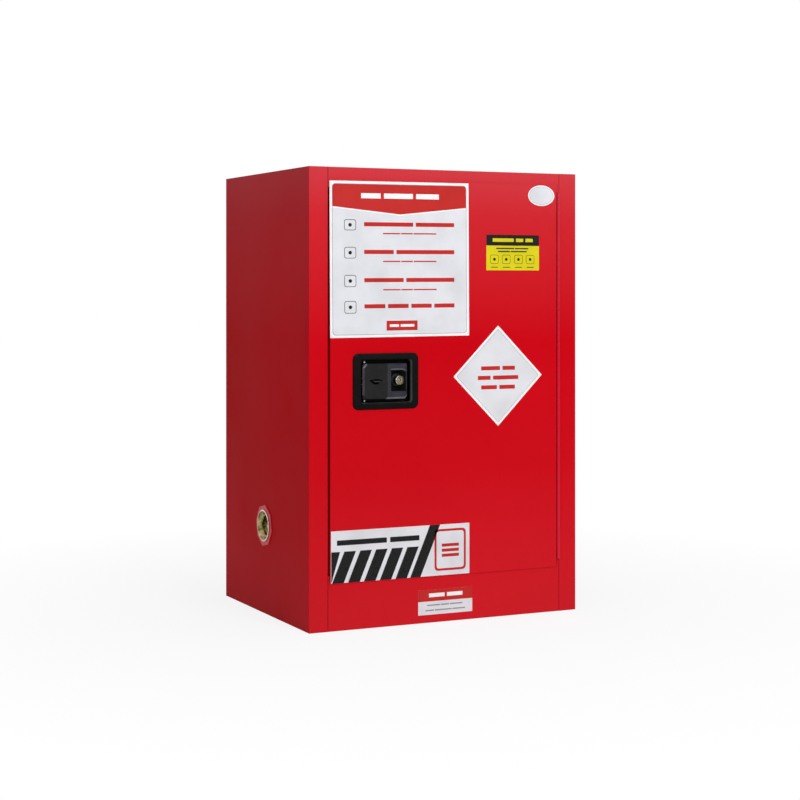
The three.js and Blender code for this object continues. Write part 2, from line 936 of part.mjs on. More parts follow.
// A plate on the left jamb that takes the side bolt
function jambStrike() {
  const outer = -stileEdge + seam;
  const middleY = skinFront + slideFront + boltThickness / 2;
  const plate = block(
    [outer, outer + strikePlate],
    around(middleY, strikeWidth),
    around(handleHeight, strikeHeight),
  );
  const screws = [-1, 1].map((end) =>
    bar(
      "x",
      screwRadius,
      [outer, outer + strikePlate + seam],
      [0, middleY, handleHeight + (end * strikeScrewSpread) / 2],
      rodSides,
    ),
  );
  return cut(join(plate, ...screws), boltWay([outer - overrun, outer + strikePlate + overrun]));
}

// Piano hinge: an odd number of knuckles, so that the frame's leaf holds both ends of the pin
const hingeBottom = sillHeight + seam;
const hingeTop = openingTop - seam;
const knuckleCount = 2 * Math.floor(((hingeTop - hingeBottom) / knuckleLength - 1) / 2) + 1;
const firstKnuckle = (hingeBottom + hingeTop - knuckleCount * knuckleLength) / 2;

// A hinge leaf and its knuckles, every second one from the first given
function hingeLeaf(side, first) {
  const leafX = across(side, knuckleRadius - sheet, knuckleRadius).map((x) => hingeX + x);
  const notchY = hingeY + knuckleRadius + leafNotch;
  let leaf = block(leafX, [notchY, hingeY + leafWidth], [hingeBottom, hingeTop]);
  for (let i = first; i < knuckleCount; i += 2) {
    const z = [
      firstKnuckle + i * knuckleLength + knuckleGap / 2,
      firstKnuckle + (i + 1) * knuckleLength - knuckleGap / 2,
    ];
    leaf = leaf
      .add(block(leafX, [hingeY, notchY], z))
      .add(bar("z", knuckleRadius, z, [hingeX, hingeY, 0], knuckleSides));
  }
  const bore = bar(
    "z",
    hingePinRadius + hingePinPlay,
    [hingeBottom - overrun, hingeTop + overrun],
    [hingeX, hingeY, 0],
    smallSides,
  );
  return cut(leaf, bore);
}

function hingePin() {
  return bar("z", hingePinRadius, [hingeBottom, hingeTop], [hingeX, hingeY, 0], smallSides);
}

// The door's outer sheet: it laps over the rail and the sill, and turns back along both sides
function doorSkin() {
  const cutX = around(handleX, dishWidth + 2 * (dishWall + dishCutPlay));
  const cutZ = around(handleHeight, dishHeight + 2 * (dishWall + dishCutPlay));
  const faceX = [doorLeft, doorRight];
  const faceY = [skinFront, skinBack];
  const returned = [
    [doorLeft, skinFront],
    [doorRight, skinFront],
    [doorRight, doorBack],
    [doorRight - sheet, doorBack],
    [doorRight - sheet, skinBack],
    [doorLeft + sheet, skinBack],
    [doorLeft + sheet, doorBack],
    [doorLeft, doorBack],
  ];
  const skin = join(
    block(faceX, faceY, [sillHeight - bottomLap, doorBottom]),
    prism(returned, [doorBottom, doorTop]),
    block(faceX, faceY, [doorTop, openingTop + topLap]),
  );
  return cut(
    skin,
    block(cutX, [skinFront - overrun, skinBack + overrun], cutZ),
    boltWay([doorLeft - overrun, doorLeft + sheet + overrun]),
  );
}

// The opening in the inner panel, with its cover, over the latch
const coverX = [handleX + rodX - coverMargin, handleX + rodX - coverMargin + coverWidth];
const coverZ = around(handleHeight, coverHeight);

// The door's inner sheet, which turns forward at its top and bottom
function doorInnerPanel() {
  const edge = skinBack + seam;
  const channel = [
    [edge, doorBottom],
    [doorBack, doorBottom],
    [doorBack, doorTop],
    [edge, doorTop],
    [edge, doorTop - sheet],
    [doorBack - sheet, doorTop - sheet],
    [doorBack - sheet, doorBottom + sheet],
    [edge, doorBottom + sheet],
  ];
  const rodWay = bar(
    "z",
    rodRadius + rodHolePlay,
    [doorBottom - overrun, doorTop + overrun],
    [handleX + rodX, rodY, 0],
    rodSides,
  );
  return cut(
    profileAlongX(channel, [doorLeft + sheet + seam, doorRight - sheet - seam]),
    rodWay,
    block(coverX, [doorBack - sheet - overrun, doorBack + overrun], coverZ),
  );
}

// A channel that ties the two sheets of the door
function doorStiffener(left) {
  const x = [left, left + stiffenerWidth];
  const y = [skinBack + seam, doorBack - sheet - seam];
  const z = [doorBottom + sheet + seam, doorTop - sheet - seam];
  const hollow = block(
    [x[0] + sheet, x[1] + overrun],
    [y[0] + sheet, y[1] - sheet],
    [z[0] - overrun, z[1] + overrun],
  );
  return cut(block(x, y, z), hollow);
}

function latchCover() {
  const y = [doorBack + seam, doorBack + seam + sheet];
  const x = [coverX[0] - coverMargin, coverX[1] + coverMargin];
  const z = [coverZ[0] - coverMargin, coverZ[1] + coverMargin];
  const screws = [];
  for (const screwX of [coverX[0] - coverMargin / 2, coverX[1] + coverMargin / 2]) {
    for (const screwZ of [coverZ[0] - coverMargin / 2, handleHeight, coverZ[1] + coverMargin / 2]) {
      screws.push(bar("y", screwRadius, [y[0], y[1] + screwHead], [screwX, 0, screwZ], smallSides));
    }
  }
  return join(block(x, y, z), ...screws);
}

// The dish with its bezel, and holes for the pivot pin, the paddle's tail and the lock
function handleDish() {
  const inner = [around(0, dishWidth), around(0, dishHeight)];
  const outer = inner.map(([low, high]) => [low - dishWall, high + dishWall]);
  const bezelShape = roundedRectangle(around(0, bezelWidth), around(0, bezelHeight), bezelCorner);
  const bezel = cut(
    plateAlongY(bezelShape, [-bezelProud, bezelProud], bezelBevel),
    block(around(0, 2 * bezelWidth), [-seam, 2 * bezelProud], around(0, 2 * bezelHeight)),
  );
  const well = plateAlongY(
    roundedRectangle(...outer, dishCorner + dishWall),
    [-bezelProud / 2, dishBack],
  );
  const hollow = plateAlongY(
    roundedRectangle(...inner, dishCorner),
    [-bezelProud - overrun, dishFloor],
  );
  const pinHole = bar(
    "z",
    pivotPinRadius + pivotPlay,
    [outer[1][0] - overrun, outer[1][1] + overrun],
    [pivotX, pivotDepth, 0],
    rodSides,
  );
  const lockHole = bar(
    "y",
    lockRadius + lockHolePlay,
    [dishFloor - overrun, dishBack + overrun],
    [lockX, 0, lockRise],
    lockSides,
  );
  return cut(join(bezel, well), hollow, pinHole, lockHole, tailWay([dishFloor, dishBack]));
}

// Room for the tail's swing through a plate between two depths
function tailWay([from, to]) {
  const swung = (to - pivotDepth) * Math.tan(paddleSwingAngle);
  const halfTail = tailThickness / 2 / Math.cos(paddleSwingAngle);
  return block(
    [pivotX - tailThickness / 2 - floorHolePlay, pivotX + swung + halfTail + floorHolePlay],
    [from - overrun, to + overrun],
    around(0, tailHeight + 2 * floorHolePlay),
  );
}

// The paddle: a flat left part with the slot for the padlock eye, a raised right part with the window
// for the key, barrels on the pivot pin and a tail that moves the latch
function handlePaddle() {
  const plateShape = polygon([
    [paddleLeft + paddleChamfer, -paddleHalf],
    [paddleRight, -paddleHalf],
    [paddleRight, paddleHalf],
    [paddleLeft + paddleChamfer, paddleHalf],
    [paddleLeft, paddleHalf - paddleChamfer],
    [paddleLeft, paddleChamfer - paddleHalf],
  ]);
  const raisedFront = paddleFront - raisedProud;
  const raisedShape = polygon([
    [paddleRight - raisedWidth, -paddleHalf],
    [paddleRight, -paddleHalf],
    [paddleRight, paddleHalf],
    [paddleRight - raisedWidth, paddleHalf],
  ]);
  const raised = cut(
    plateAlongY(raisedShape, [raisedFront, paddleBack + raisedProud], raisedBevel),
    block(
      around(0, 2 * dishWidth),
      [paddleBack, paddleBack + 2 * raisedProud],
      around(0, 2 * dishHeight),
    ),
  );
  const lip = block(
    [paddleRight - fingerLip, paddleRight],
    [paddleFront, paddleBack + fingerLipDepth],
    [-paddleHalf, paddleHalf],
  );
  const windowRight = paddleRight - windowMargin;
  const windowBottom = windowRise - paddleHalf;
  const windowTop = windowBottom + windowHeight;
  const windowShape = new THREE.Shape();
  windowShape.moveTo(windowRight - windowWidth, windowBottom);
  windowShape.lineTo(windowRight, windowBottom);
  windowShape.lineTo(windowRight, windowTop - windowArch);
  windowShape.quadraticCurveTo(windowRight, windowTop, windowRight - windowArchReach, windowTop);
  windowShape.lineTo(windowRight - windowWidth, windowTop);
  windowShape.closePath();
  const through = [raisedFront - overrun, paddleBack + overrun];
  const pivot = [pivotX, pivotDepth, 0];
  const barrelEnd = paddleHalf - barrelInset;
  const barrels = join(
    bar("z", barrelRadius, [barrelEnd - barrelLength, barrelEnd], pivot, rodSides),
    bar("z", barrelRadius, [-barrelEnd, barrelLength - barrelEnd], pivot, rodSides),
    bar("z", barrelRadius, around(0, hubLength), pivot, rodSides),
  );
  const tail = block(around(pivotX, tailThickness), [pivotDepth, tailReach], around(0, tailHeight));
  const pinBore = bar(
    "z",
    pivotPinRadius + pivotPlay,
    [-paddleHalf - overrun, paddleHalf + overrun],
    pivot,
    rodSides,
  );
  return cut(
    join(plateAlongY(plateShape, [paddleFront, paddleBack]), raised, lip, barrels, tail),
    plateAlongY(windowShape, through),
    plateAlongY(lensShape(eyeX, eyeSlotLength, eyeSlotHeight), through),
    pinBore,
  );
}

function pivotPin() {
  const end = dishHeight / 2 + dishWall - seam;
  return bar("z", pivotPinRadius, [-end, end], [pivotX, pivotDepth, 0], rodSides);
}

// The coil on the pivot pin, between the upper barrel and the hub of the tail
function pivotSpring() {
  const low = hubLength / 2 + seam;
  const high = paddleHalf - barrelInset - barrelLength - seam;
  const foot = [pivotX, pivotDepth, low];
  return coil("paddle_spring", pivotCoilRadius, pivotWire, pivotCoilTurns, high - low, foot);
}

// The padlock eye: a level plate that stands on the dish's floor and passes through the paddle
function padlockEye() {
  const tip = paddleFront - eyeProud;
  const footBack = dishFloor - seam;
  const plate = block(around(eyeX, eyeWidth), [tip, footBack], around(0, eyeThickness));
  const foot = block(
    around(eyeX, eyeWidth),
    [footBack - eyeFootThickness, footBack],
    [-eyeThickness / 2, eyeFoot - eyeThickness / 2],
  );
  const hole = bar(
    "z",
    eyeHoleRadius,
    around(0, eyeThickness + 2 * overrun),
    [eyeX, tip + eyeHoleInset, 0],
    rodSides,
  );
  return cut(join(plate, foot), hole);
}

const lockBack = slideFront - seam;
function lockBody() {
  const centre = [lockX, 0, lockRise];
  const shoulder = [dishFloor - seam - lockShoulder, dishFloor - seam];
  const bore = [lockFace - overrun, lockBack + overrun];
  return cut(
    join(
      bar("y", lockRadius, [lockFace, lockBack], centre, lockSides),
      bar("y", lockShoulderRadius, shoulder, centre, lockSides),
    ),
    bar("y", plugFaceRadius + plugBorePlay, bore, centre, lockSides),
  );
}

function lockPlug() {
  const centre = [lockX, 0, lockRise];
  return cut(
    join(
      bar("y", plugFaceRadius, [lockFace, lockBack], centre, rodSides),
      bar("y", camNeckRadius, [lockBack, lockBack + camNeckReach], centre, rodSides),
    ),
    block(
      around(lockX, keyholeWidth),
      [lockFace - overrun, lockFace + keyholeDepth],
      around(lockRise, keyholeHeight),
    ),
  );
}

// The cam on the plug's end: it hangs when unlocked, and lies against the slide's end when locked
function lockCam() {
  const y = [slideFront + seam, slideFront + seam + camThickness];
  return cut(
    join(
      block(around(lockX, camWidth), y, [lockRise - camLength, lockRise]),
      bar("y", camWidth / 2 + camHubMargin, y, [lockX, 0, lockRise], rodSides),
    ),
    bar(
      "y",
      camNeckRadius + seam,
      [y[0] - overrun, y[1] + overrun],
      [lockX, 0, lockRise],
      rodSides,
    ),
  );
}

// The plate that carries the slide, with two headed rivets
function latchBasePlate() {
  const back = latchBaseFront + latchBase;
  const plate = block(
    [rodX - latchBaseReach, slideRight + camGap],
    [latchBaseFront, back],
    around(0, latchBaseHeight),
  );
  const headBack = slideBack + seam + rivetHead;
  const rivets = rivetXs.map((x) =>
    join(
      bar("y", rivetRadius, [latchBaseFront, headBack], [x, 0, 0], rodSides),
      bar("y", rivetHeadRadius, [headBack - rivetHead, headBack], [x, 0, 0], rodSides),
    ),
  );
  return cut(join(plate, ...rivets), tailWay([latchBaseFront, back]));
}

// The slide and its side bolt. Its level slots run on the rivets and its sloping slots move the rods.
function latchSlide() {
  const y = [slideFront, slideBack];
  const yokeX = [rodX - latchStroke - yokeMargin, rodX + yokeMargin];
  const plate = join(
    block([boltRest + boltLength - boltRoot, slideRight], y, around(0, slideBar)),
    block(yokeX, y, around(0, slideYoke)),
  );
  const boltBack = slideFront + boltThickness;
  const boltOutline = [
    [boltRest, slideFront],
    [boltRest + boltLength, slideFront],
    [boltRest + boltLength, boltBack],
    [boltRest + boltBevel, boltBack],
    [boltRest, slideFront + slideThickness],
  ];
  const bolt = prism(boltOutline, around(0, boltHeight));
  const cuts = rivetXs.map((x) =>
    plateAlongY(
      slotShape([x - latchStroke, 0], [x, 0], rivetRadius + rivetPlay),
      [y[0] - overrun, y[1] + overrun],
    ),
  );
  for (const end of [-1, 1]) {
    const rest = [rodX, end * rodPinRise];
    const drawn = [rodX - latchStroke, end * (rodPinRise - latchStroke)];
    cuts.push(
      plateAlongY(
        slotShape(drawn, rest, rodPinRadius + rodPinPlay),
        [y[0] - overrun, y[1] + overrun],
      ),
    );
  }
  const tailHole = block(
    around(pivotX, tailThickness + 2 * tailPlay),
    [y[0] - overrun, y[1] + overrun],
    around(0, tailHeight + 2 * tailPlay),
  );
  return cut(join(plate, bolt), ...cuts, tailHole);
}

// A rod from the slide to the keeper above or below it. up is 1 for the upper rod and -1 for the lower.
function latchRod(up) {
  const doorEdge = (up > 0 ? doorTop : doorBottom) - handleHeight;
  const near = up * (rodPinRise - rodEndDrop);
  const far = doorEdge + up * latchStroke;
  const rod = bar(
    "z",
    rodRadius,
    [Math.min(near, far), Math.max(near, far)],
    [rodX, rodDepth, 0],
    rodSides,
  );
  const pin = bar(
    "y",
    rodPinRadius,
    [slideFront, rodDepth],
    [rodX, 0, up * rodPinRise],
    rodSides,
  );
  return join(rod, pin);
}

// The place of the lower rod's collar and of the coil above it
const coilTop = lowerGuideZ - guidePlate - handleHeight - seam;
const coilBottom = coilTop - rodCoilLength;

function lowerRod() {
  const collar = bar(
    "z",
    collarRadius,
    [coilBottom - seam - collarLength, coilBottom - seam],
    [rodX, rodDepth, 0],
    rodSides,
  );
  return join(latchRod(-1), collar);
}

// The coil that throws the lower rod, between its collar and its guide
function rodSpring() {
  const foot = [rodX, rodDepth, coilBottom];
  return coil("rod_spring", rodCoilRadius, rodWire, rodCoilTurns, rodCoilLength, foot);
}

// An angle bracket on the door's skin with a hole for a rod. Its foot rises from its level plate at z.
function rodGuide(z) {
  const footFront = skinBack + seam;
  const reach = skinFront + guideReach;
  const angle = [
    [footFront, z - guidePlate],
    [reach, z - guidePlate],
    [reach, z],
    [footFront + guidePlate, z],
    [footFront + guidePlate, z + guideFoot],
    [footFront, z + guideFoot],
  ];
  return cut(
    profileAlongX(angle, around(handleX + rodX, guideWidth)),
    bar(
      "z",
      rodRadius + guidePlay,
      [z - guidePlate - overrun, z + overrun],
      [handleX + rodX, rodY, 0],
      rodSides,
    ),
  );
}

const floorCentre = [0, 0, 0];
const standardYs = [
  ["front", linerFront + standardFrontInset],
  ["rear", roomBack - standardRearInset],
];

const shell = assembly(
  floorCentre,
  piece("left_side_panel", sidePanel(-1), "redPaint"),
  piece("right_side_panel", sidePanel(1), "redPaint"),
  piece("top_panel", topPanel(), "redPaint"),
  piece("back_panel", backPanel(), "redPaint"),
  piece("base_panel", basePanel(), "redPaint"),
  piece("sill_panel", sillPanel(), "redPaint"),
  piece("left_liner", sideLiner(-1), "redPaint"),
  piece("right_liner", sideLiner(1), "redPaint"),
  piece("back_liner", backLiner(), "redPaint"),
  piece("ceiling_liner", ceilingLiner(), "redPaint"),
  piece("sump_pan", sumpPan(), "redPaint"),
  piece("strike_plate", jambStrike(), "zincSteel"),
  piece("upper_keeper", rodKeeper(1, openingTop), "brass"),
  piece("lower_keeper", rodKeeper(-1, sillHeight), "brass"),
  assembly(
    [halfWidth, back - groundInset, groundRise],
    piece("ground_bolt", groundBolt(), "zincSteel"),
  ),
);

const shelving = assembly(floorCentre, piece("shelf", shelfTray(), "zincSteel"));
for (const [sideName, side] of [["left", -1], ["right", 1]]) {
  for (const [endName, y] of standardYs) {
    const place = sideName + "_" + endName;
    shelving.add(
      piece("shelf_standard_" + place, shelfStandard(side, y), "zincSteel"),
      piece("shelf_clip_" + place, shelfClip(side, y), "zincSteel"),
    );
  }
}

const feet = assembly(
  floorCentre,
  ...footPlaces.map(({ name, x, y }) =>
    assembly([x, y, 0], piece("levelling_foot_" + name, levellingFoot(), "zincSteel")),
  ),
);

const hinge = assembly(
  floorCentre,
  piece("hinge_frame_leaf", hingeLeaf(1, 0), "redPaint"),
  piece("hinge_door_leaf", hingeLeaf(-1, 1), "redPaint"),
  piece("hinge_pin", hingePin(), "zincSteel"),
);

const handleGroup = assembly(
  [handleX, skinFront, handleHeight],
  piece("handle_dish", handleDish(), "blackPlastic"),
  piece("paddle", handlePaddle(), "blackPlastic"),
  piece("paddle_pin", pivotPin(), "zincSteel"),
  piece("paddle_spring", pivotSpring(), "springSteel"),
  piece("padlock_eye", padlockEye(), "zincSteel"),
  piece("lock_body", lockBody(), "brass"),
  piece("lock_plug", lockPlug(), "zincSteel"),
  piece("lock_cam", lockCam(), "zincSteel"),
  piece("latch_base", latchBasePlate(), "zincSteel"),
  piece("latch_slide", latchSlide(), "zincSteel"),
  piece("upper_rod", latchRod(1), "zincSteel"),
  piece("lower_rod", lowerRod(), "zincSteel"),
  piece("rod_spring", rodSpring(), "springSteel"),
);

const door = assembly(
  floorCentre,
  piece("door_skin", doorSkin(), "redPaint"),
  piece("door_inner_panel", doorInnerPanel(), "redPaint"),
  piece("door_stiffener_middle", doorStiffener(doorLeft + middleStiffenerPlace), "zincSteel"),
  piece("door_stiffener_hinge_side", doorStiffener(doorRight - hingeStiffenerInset), "zincSteel"),
  piece("latch_cover", latchCover(), "redPaint"),
  piece("upper_rod_guide", rodGuide(upperGuideZ), "zincSteel"),
  piece("lower_rod_guide", rodGuide(lowerGuideZ), "zincSteel"),
  handleGroup,
);

// The origin is under the middle of the whole reach, from the padlock eye to the back
const frontReach = skinStandoff + sheet + Math.max(bezelProud, eyeProud - paddleFront);
const cabinet = assembly([0, frontReach / 2, 0], shell, shelving, feet, hinge, door, vent(-1), vent(1));

export default cabinet;
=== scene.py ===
import json
import math

import bmesh
import bpy
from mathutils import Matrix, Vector


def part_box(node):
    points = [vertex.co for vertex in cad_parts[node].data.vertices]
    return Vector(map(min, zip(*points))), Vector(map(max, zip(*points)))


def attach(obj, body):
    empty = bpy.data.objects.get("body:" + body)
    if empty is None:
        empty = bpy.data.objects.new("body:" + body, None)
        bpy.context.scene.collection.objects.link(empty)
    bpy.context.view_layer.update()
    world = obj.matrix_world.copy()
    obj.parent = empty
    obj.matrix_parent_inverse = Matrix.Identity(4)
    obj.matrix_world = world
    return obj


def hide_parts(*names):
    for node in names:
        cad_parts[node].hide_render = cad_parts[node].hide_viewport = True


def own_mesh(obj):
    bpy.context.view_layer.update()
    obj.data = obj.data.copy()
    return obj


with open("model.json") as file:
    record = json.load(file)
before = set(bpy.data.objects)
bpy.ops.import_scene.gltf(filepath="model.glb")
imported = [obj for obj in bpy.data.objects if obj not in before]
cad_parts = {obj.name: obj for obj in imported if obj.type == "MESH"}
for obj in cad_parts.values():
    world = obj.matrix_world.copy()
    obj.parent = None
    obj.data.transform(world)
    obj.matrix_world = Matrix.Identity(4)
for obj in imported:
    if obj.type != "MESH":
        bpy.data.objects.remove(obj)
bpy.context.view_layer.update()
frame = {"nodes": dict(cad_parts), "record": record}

# Lengths below are millimetres in the row frame: X right, Y back, Z up, for someone facing the door.
MM = 0.001
BODY_OF = {
    node: body
    for body, nodes in frame["record"]["behaviour"]["bodies"].items()
    for node in nodes
}


def spans(node):
    """A CAD node's (low, high) spans along X, Y and Z, in millimetres."""
    return [tuple(round(end / MM, 2) for end in ends) for ends in zip(*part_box(node))]


def middle(node):
    """The middle of a CAD node's box, in millimetres."""
    return [round(sum(ends) / 2 / MM, 2) for ends in zip(*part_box(node))]


def on_front(node):
    """Where a CAD node's middle is for someone facing the door: across and up."""
    x, _, z = middle(node)
    return x, z


def inset(span, width):
    """A span made shorter by a width at both ends."""
    return span[0] + width, span[1] - width


# Camera

CAMERA_PLACE = (-1592, -3333.5, 662)
CAMERA_YAW = -25.59
PICTURE_SIDE = 800
FOCAL_PIXELS = 1769
HORIZON_ABOVE_MIDDLE = 114.2
SENSOR = 36

camera_data = bpy.data.cameras.new("camera")
camera_data.sensor_width = SENSOR
camera_data.lens = SENSOR * FOCAL_PIXELS / PICTURE_SIDE
camera_data.shift_y = -HORIZON_ABOVE_MIDDLE / PICTURE_SIDE
camera_data.clip_end = 100
camera = bpy.data.objects.new("camera", camera_data)
camera.location = Vector(CAMERA_PLACE) * MM
camera.rotation_euler = (math.radians(90), 0, math.radians(CAMERA_YAW))
bpy.context.scene.collection.objects.link(camera)
bpy.context.scene.camera = camera


# Materials

RANGE_SOCKETS = ("From Min", "From Max", "To Min", "To Max")


class Finish:
    """A node material whose patterns lie on the piece's own Object coordinates, in metres."""

    def __init__(self, name, colour, roughness, metallic=0.0, ior=1.45):
        self.material = bpy.data.materials.new(name)
        self.material.use_nodes = True
        self.nodes = self.material.node_tree.nodes
        self.links = self.material.node_tree.links
        self.shader = self.nodes["Principled BSDF"]
        self.shader.inputs["Base Color"].default_value = (*colour, 1)
        self.shader.inputs["Roughness"].default_value = roughness
        self.shader.inputs["Metallic"].default_value = metallic
        self.shader.inputs["IOR"].default_value = ior
        self.place = self.nodes.new("ShaderNodeTexCoord").outputs["Object"]

    def stretched(self, x, y, z):
        """Object coordinates drawn out along an axis that has a small factor."""
        mapping = self.nodes.new("ShaderNodeMapping")
        mapping.inputs["Scale"].default_value = (x, y, z)
        self.links.new(self.place, mapping.inputs["Vector"])
        return mapping.outputs["Vector"]

    def noise(self, cell, detail=2.0, place=None):
        """Smooth noise whose cells are about the given size in millimetres."""
        node = self.nodes.new("ShaderNodeTexNoise")
        node.inputs["Scale"].default_value = 1 / (cell * MM)
        node.inputs["Detail"].default_value = detail
        self.links.new(place or self.place, node.inputs["Vector"])
        return node.outputs["Fac"]

    def cells(self, cell, place=None):
        """A random value in each cell of about the given size in millimetres."""
        node = self.nodes.new("ShaderNodeTexVoronoi")
        node.inputs["Scale"].default_value = 1 / (cell * MM)
        self.links.new(place or self.place, node.inputs["Vector"])
        split = self.nodes.new("ShaderNodeSeparateColor")
        self.links.new(node.outputs["Color"], split.inputs["Color"])
        return split.outputs["Red"]

    def height(self):
        """Height above the floor in metres, which is close to a share of the cabinet's own."""
        split = self.nodes.new("ShaderNodeSeparateXYZ")
        self.links.new(self.place, split.inputs["Vector"])
        return split.outputs["Z"]

    def spread(self, value, low, high, to_low, to_high):
        """Takes a value's part from low to high to the range from to_low to to_high."""
        node = self.nodes.new("ShaderNodeMapRange")
        for socket, number in zip(RANGE_SOCKETS, (low, high, to_low, to_high)):
            node.inputs[socket].default_value = number
        self.links.new(value, node.inputs["Value"])
        return node.outputs["Result"]

    def total(self, first, second):
        node = self.nodes.new("ShaderNodeMath")
        node.operation = "ADD"
        self.links.new(first, node.inputs[0])
        self.links.new(second, node.inputs[1])
        return node.outputs[0]

    def shades(self, value, *stops):
        """Colours along a value: each stop is (place, colour)."""
        node = self.nodes.new("ShaderNodeValToRGB")
        ramp = node.color_ramp
        while len(ramp.elements) < len(stops):
            ramp.elements.new(0.5)
        for element, (place, colour) in zip(ramp.elements, stops):
            element.position = place
            element.color = (*colour, 1)
        self.links.new(value, node.inputs["Fac"])
        return node.outputs["Color"]

    def over(self, share, below, above):
        """One colour laid over another by a share."""
        node = self.nodes.new("ShaderNodeMix")
        node.data_type = "RGBA"
        self.links.new(share, node.inputs["Factor"])
        self.links.new(below, node.inputs["A"])
        self.links.new(above, node.inputs["B"])
        return node.outputs["Result"]

    def feed(self, socket, value):
        self.links.new(value, self.shader.inputs[socket])

    def relief(self, height, depth, strength=1.0):
        """Bump of the given depth in millimetres, on top of what is there already."""
        node = self.nodes.new("ShaderNodeBump")
        node.inputs["Strength"].default_value = strength
        node.inputs["Distance"].default_value = depth * MM
        self.links.new(height, node.inputs["Height"])
        bumped = self.shader.inputs["Normal"]
        if bumped.is_linked:
            self.links.new(bumped.links[0].from_socket, node.inputs["Normal"])
        self.links.new(node.outputs["Normal"], bumped)


# Pairs of height in metres and how much painted sheen lies there: a pale haze painted into the red, strong
# near the top and slight near the floor.
PAINTED_SHEEN_BY_HEIGHT = ((0.0, 0.2), (0.3, 0.03), (0.55, 0.0), (0.8, 0.3), (0.9, 0.75))


def powder_coat(name, dark, light, roughness=0.33, ior=1.045, sheen_colour=(0.62, 0.06, 0.075)):
    """Sprayed and baked paint: slow unevenness, fine speckle, orange peel, a painted sheen that lightens it
    by height, and faint rubbing.
    """
    coat = Finish(name, light, roughness, ior=ior)
    slow = coat.noise(420, 1.5)
    body = coat.shades(slow, (0.3, dark), (0.7, light))
    speck = coat.spread(coat.noise(1.1, 1), 0.3, 0.75, 0.0, 0.12)
    dusty = coat.shades(slow, (0.0, [min(1, c * 1.25 + 0.012) for c in light]), (1.0, light))
    # Painted sheen: a pale haze laid over the red by height, standing in for a soft reflection near the top
    # and the bottom.
    sheen_share = coat.shades(coat.height(), *((at, (share,) * 3) for at, share in PAINTED_SHEEN_BY_HEIGHT))
    pale = coat.shades(slow, (0.0, sheen_colour), (1.0, [c * 1.04 for c in sheen_colour]))
    coat.feed("Base Color", coat.over(sheen_share, coat.over(speck, body, dusty), pale))
    rubbing_and_highlight = coat.noise(26, 3, coat.stretched(1, 1, 0.16))
    patch = coat.spread(coat.noise(150, 2), 0.35, 0.7, roughness - 0.05, roughness + 0.05)
    coat.feed("Roughness", coat.total(patch, coat.spread(rubbing_and_highlight, 0.58, 0.75, 0.0, 0.09)))
    coat.relief(coat.noise(3.4, 1.5), 0.035, 0.5)
    coat.relief(coat.noise(70, 1), 0.5, 0.12)
    return coat.material


def plated(name, dark, light, roughness=0.34):
    """Plated steel: crystals of slightly different shade, and fine drawn lines."""
    metal = Finish(name, light, roughness, metallic=1.0)
    grain = metal.cells(2.6)
    tone = metal.total(metal.spread(grain, 0, 1, 0, 0.5), metal.spread(metal.noise(30, 3), 0.3, 0.7, 0, 0.5))
    metal.feed("Base Color", metal.shades(tone, (0.1, dark), (0.9, light)))
    lines = metal.noise(0.5, 2, metal.stretched(1, 1, 0.04))
    metal.feed("Roughness", metal.total(
        metal.spread(grain, 0, 1, roughness - 0.07, roughness + 0.05),
        metal.spread(lines, 0.35, 0.7, 0.0, 0.1),
    ))
    metal.relief(lines, 0.01, 0.4)
    return metal.material


def passivated():
    """Yellow-passivated zinc: gold that drifts to olive and rose, with dull water marks."""
    metal = Finish("yellow_passivated_zinc", (0.4, 0.32, 0.14), 0.26, metallic=1.0)
    drift = metal.noise(13, 3)
    gold = metal.shades(
        drift, (0.28, (0.07, 0.06, 0.017)), (0.45, (0.2, 0.165, 0.055)),
        (0.6, (0.4, 0.34, 0.17)), (0.78, (0.2, 0.13, 0.065)),
    )
    marks = metal.spread(metal.noise(4, 4), 0.52, 0.75, 0.0, 0.5)
    dull = metal.shades(drift, (0.2, (0.06, 0.045, 0.018)), (0.8, (0.15, 0.12, 0.06)))
    metal.feed("Base Color", metal.over(marks, gold, dull))
    metal.feed("Roughness", metal.spread(metal.noise(6, 3), 0.3, 0.75, 0.16, 0.42))
    metal.relief(metal.noise(1.6, 2), 0.03, 0.35)
    return metal.material


def moulding(name, dark, light, roughness, ior=1.15):
    """Moulded plastic with a fine spark-eroded grain and some polish from hands."""
    plastic = Finish(name, dark, roughness, ior=ior)
    plastic.feed("Base Color", plastic.shades(plastic.noise(18, 3), (0.3, dark), (0.75, light)))
    polish = plastic.spread(plastic.noise(24, 2), 0.35, 0.7, roughness - 0.07, roughness + 0.08)
    grain = plastic.noise(0.55, 2)
    plastic.feed("Roughness", plastic.total(polish, plastic.spread(grain, 0.3, 0.8, 0.0, 0.06)))
    plastic.relief(grain, 0.05, 0.5)
    return plastic.material


def rubber():
    soft = Finish("black_rubber", (0.02, 0.02, 0.021), 0.75)
    dark, light = (0.014, 0.014, 0.015), (0.045, 0.044, 0.042)
    soft.feed("Base Color", soft.shades(soft.noise(9, 3), (0.3, dark), (0.8, light)))
    soft.feed("Roughness", soft.spread(soft.noise(5, 2), 0.3, 0.7, 0.66, 0.84))
    soft.relief(soft.noise(0.8, 3), 0.06, 0.6)
    return soft.material


def vinyl(name, colour, roughness=0.38):
    """Printed vinyl: flat ink with a slight wave, small bubbles and rubbed spots."""
    film = Finish(name, colour, roughness, ior=1.2)
    aged = [c * 0.9 for c in colour]
    tone = film.noise(55, 3)
    film.feed("Base Color", film.shades(tone, (0.3, aged), (0.6, colour)))
    film.feed("Roughness", film.spread(film.noise(14, 3), 0.3, 0.75, roughness - 0.08, roughness + 0.12))
    film.relief(film.noise(38, 1), 0.3, 0.1)
    film.relief(film.spread(film.noise(4.5, 1), 0.66, 0.75, 0, 1), 0.03, 0.3)
    return film.material


